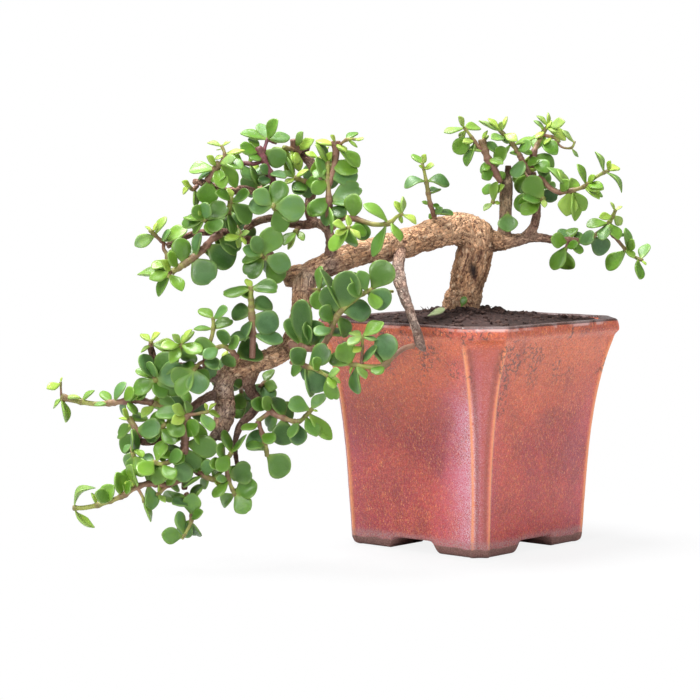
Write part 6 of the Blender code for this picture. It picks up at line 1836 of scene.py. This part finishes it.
# %% Leaf material
def make_leaf_finish():
    made, n, shader = new_material("fleshy_leaf")
    place = n.place()
    age, margin, along, tint = (n.attribute(key) for key in ("age", "margin", "along", "tint"))
    cloud = clouds(n, place, 150.0, 0.35, 0.65)
    pores = flecks(n, place, 1900.0, 0.45)
    bloom = n.attribute("bloom")
    fresh = n.mix(tint, (0.29, 0.43, 0.05), (0.42, 0.53, 0.09))
    grown = n.mix(tint, (0.082, 0.205, 0.012), (0.145, 0.29, 0.024))
    old = n.mix(tint, (0.026, 0.080, 0.010), (0.048, 0.118, 0.020))
    colour = n.mix(n.between(age, 0.05, 0.45), fresh, grown)
    colour = n.mix(n.between(age, 0.5, 0.95), colour, old)
    waxy = n.product(n.between(bloom, 0.45, 0.95), n.total(0.3, n.product(cloud, 0.35)))
    colour = n.mix(waxy, colour, (0.105, 0.225, 0.105))
    colour = n.over(colour, cloud, 0.2, (0.08, 0.18, 0.03))
    foot = n.rest(n.between(along, 0.02, 0.35))
    colour = n.over(colour, foot, 0.5, (0.26, 0.36, 0.06))
    colour = n.over(colour, margin, 0.5, (0.28, 0.42, 0.10))
    colour = n.over(colour, pores["Mask"], 0.12, (0.17, 0.28, 0.10))
    rough = n.total(0.3, n.product(cloud, 0.12))
    rough = n.total(rough, n.product(bloom, 0.12))
    skin = n.total(n.product(pores["Height"], 0.35), cloud)
    finish_shader(n, shader, {"Base Color": colour, "Roughness": rough, "Normal": n.bump(skin, 0.00025, 0.5)},
                  {"Specular IOR Level": 0.34, "Subsurface Weight": 0.12, "Subsurface Scale": 0.001,
                   "Subsurface Radius": (0.4, 1.0, 0.2), "Coat Weight": 0.05, "Coat Roughness": 0.2})
    return made


# %% [markdown]
# A stem is green at its tip and red-brown where it has ripened, with a dark ring at each node.

# %% Stem material
def make_stem_finish():
    made, n, shader = new_material("red_green_stem")
    place = n.place()
    age, swell, girth = n.attribute("age"), n.attribute("along"), n.attribute("girth")
    cloud = clouds(n, place, 110.0, 0.36, 0.62)
    spots = flecks(n, place, 1100.0, 0.45)
    green = n.mix(cloud, (0.20, 0.24, 0.04), (0.30, 0.33, 0.07))
    red = n.mix(cloud, (0.16, 0.07, 0.045), (0.30, 0.16, 0.10))
    colour = n.mix(n.between(age, 0.15, 0.75), green, red)
    colour = n.mix(n.between(girth, 1.5, 2.2), colour, (0.24, 0.12, 0.085))
    purple = n.mix(cloud, (0.13, 0.035, 0.05), (0.24, 0.07, 0.09))
    colour = n.mix(n.between(n.attribute("tint"), 0.6, 0.9), colour, purple)
    colour = n.over(colour, n.between(swell, 0.1, 0.35), 0.5, (0.12, 0.05, 0.035))
    colour = n.over(colour, spots["Mask"], 0.3, (0.36, 0.24, 0.16))
    finish_shader(n, shader, {"Base Color": colour, "Normal": n.bump(spots["Height"], 0.0003, 0.6)},
                  {"Roughness": 0.5, "Specular IOR Level": 0.4})
    return made


LEAF_FINISH = make_leaf_finish()
make_shoots(LEAF_FINISH, make_stem_finish())

# %% [markdown]
# ## Two loose leaves
#
# One pale leaf has dropped on the soil and lies against the heap, and one small leaf grows at the
# trunk's foot.

# %% Loose leaves
def make_loose_leaves(fallen_finish):
    fallen = (Vector((-26.4, -42, 144.6)), Vector((0.8, 0.5, 0.3)).normalized(), 13.0, 5.0)
    foot = (Vector((-4.8, -17.8, 148.8)), Vector((0.35, 0.22, 0.9)).normalized(), 7.0, 4.8)
    plans = {
        "fallen_leaf": (fallen, fallen_finish, "leaf_fallen"), "foot_leaf": (foot, LEAF_FINISH, "leaf_young"),
    }
    for seed, (name, ((base, axis, length, width), finish, slot)) in enumerate(plans.items()):
        up = Vector((0, -0.6, 0.8))
        normal = (up - axis * up.dot(axis)).normalized()
        place = (base, axis, normal.cross(axis), normal, length, width, 0.0)
        points, faces, along, margin = blade(place, leaf_habit(40 + seed, 0.75))
        values = {key: [value] * len(points) for key, value in (("age", 0.75), ("tint", 0.5), ("bloom", 0.3))}
        values.update(along=along, margin=margin)
        piece_from(f"{name}_blade", points, faces, [finish], slot, [name], values=values)
    print("loose leaves", len(plans))


def make_fallen_finish():
    made, n, shader = new_material("pale_fallen_leaf")
    place = n.place()
    cloud = clouds(n, place, 200.0, 0.35, 0.65)
    spots = flecks(n, place, 1200.0, 0.5)
    colour = n.mix(cloud, (0.36, 0.47, 0.20), (0.52, 0.58, 0.33))
    colour = n.over(colour, spots["Mask"], 0.3, (0.30, 0.28, 0.14))
    colour = n.over(colour, n.attribute("margin"), 0.4, (0.60, 0.60, 0.40))
    finish_shader(n, shader, {"Base Color": colour, "Normal": n.bump(cloud, 0.0003, 0.5)}, {"Roughness": 0.5})
    return made


make_loose_leaves(make_fallen_finish())

# %% [markdown]
# ## Floor, light and camera
#
# The plant stands on a plain white sweep. The floor fades to the same white as the surroundings a little
# way from the pot, so no horizon shows, and near the pot it takes a soft shadow. The light is a bright,
# even room with one large soft lamp high on the left and a weaker one on the right.

# %% Floor
FLOOR_RADIUS = 3.0


def make_floor():
    bm = bmesh.new()
    bmesh.ops.create_circle(bm, cap_ends=True, segments=96, radius=FLOOR_RADIUS)
    floor = helper_object("floor", bm)
    floor.location = POT_AXIS - Vector((0, 0, 0.0003))
    made, n, shader = new_material("white_sweep")
    place = n.place()
    soft = n.noise(place, 3.0)
    colour = n.mix(soft, (0.50, 0.50, 0.52), (0.54, 0.54, 0.55))
    finish_shader(n, shader, {"Base Color": colour}, {"Roughness": 0.55, "Specular IOR Level": 0.3})
    distance = n.add("ShaderNodeVectorMath", {"operation": "LENGTH"}, at_0=place).outputs["Value"]
    white = n.add("ShaderNodeEmission", None, Color=(1.0, 1.0, 1.0), Strength=1.0)
    fade = n.total(0.86, n.product(n.between(distance, 0.09, 0.25), 0.14))
    seen = n.product(fade, n.add("ShaderNodeLightPath").outputs["Is Camera Ray"])
    mixed = n.add("ShaderNodeMixShader", None, at_0=seen, at_1=shader.outputs[0], at_2=white.outputs[0])
    output = next(node for node in made.node_tree.nodes if node.type == "OUTPUT_MATERIAL")
    made.node_tree.links.new(mixed.outputs[0], output.inputs["Surface"])
    floor.data.materials.append(made)
    print("floor across", round(floor.dimensions.x, 2))


make_floor()

# %% [markdown]
# The lamps are wide discs, because soft light has no hard edge to its shadows. The room is brighter
# above than below, and plain white to the camera.

# %% Light
def area_light(name, place, aim, size, power, colour=(1, 1, 1)):
    data = bpy.data.lights.new(name, "AREA")
    data.shape = "DISK"
    data.size = size
    data.energy = power
    data.color = colour
    lamp = bpy.data.objects.new(name, data)
    bpy.context.scene.collection.objects.link(lamp)
    lamp.location = place
    lamp.rotation_euler = (Vector(aim) - Vector(place)).to_track_quat("-Z", "Y").to_euler()
    return lamp


def make_light():
    world = bpy.data.worlds.new("white_room")
    bpy.context.scene.world = world
    world.use_nodes = True
    n = Nodes(world.node_tree)
    direction = n.add("ShaderNodeTexCoord").outputs["Generated"]
    upward = n.add("ShaderNodeSeparateXYZ", None, Vector=direction).outputs["Z"]
    room = n.add("ShaderNodeMapRange", None,
                 Value=upward, From_Min=-0.4, From_Max=0.9, To_Min=0.14, To_Max=0.6)
    strength = n.mix(n.add("ShaderNodeLightPath").outputs["Is Camera Ray"], room.outputs[0], (1.0, 1.0, 1.0))
    n.put(world.node_tree.nodes["Background"].inputs["Color"], strength)
    middle = (0.0, 0.0, 0.15)
    area_light("overhead", (-0.35, 0.1, 1.6), middle, 0.8, 52)
    area_light("front_left", (-0.9, -1.5, 1.1), middle, 0.6, 24)
    area_light("front_right", (1.4, -1.2, 0.7), middle, 0.8, 9)
    bpy.context.scene.view_settings.view_transform = "Standard"


make_light()

# %% [markdown]
# The camera looks slightly down through a long lens, which keeps the pot's sides nearly upright.

# %% Camera
DIP = 4.31
LENS = 126.97


def make_camera():
    data = bpy.data.cameras.new("camera")
    data.lens = LENS
    data.sensor_width = 36.0
    camera = bpy.data.objects.new("camera", data)
    bpy.context.scene.collection.objects.link(camera)
    camera.location = Vector(VIEWER) * MM + POT_AXIS
    camera.rotation_euler = (math.radians(90 - DIP), 0, 0)
    bpy.context.scene.camera = camera
    print("camera", [round(v, 3) for v in camera.location])


make_camera()
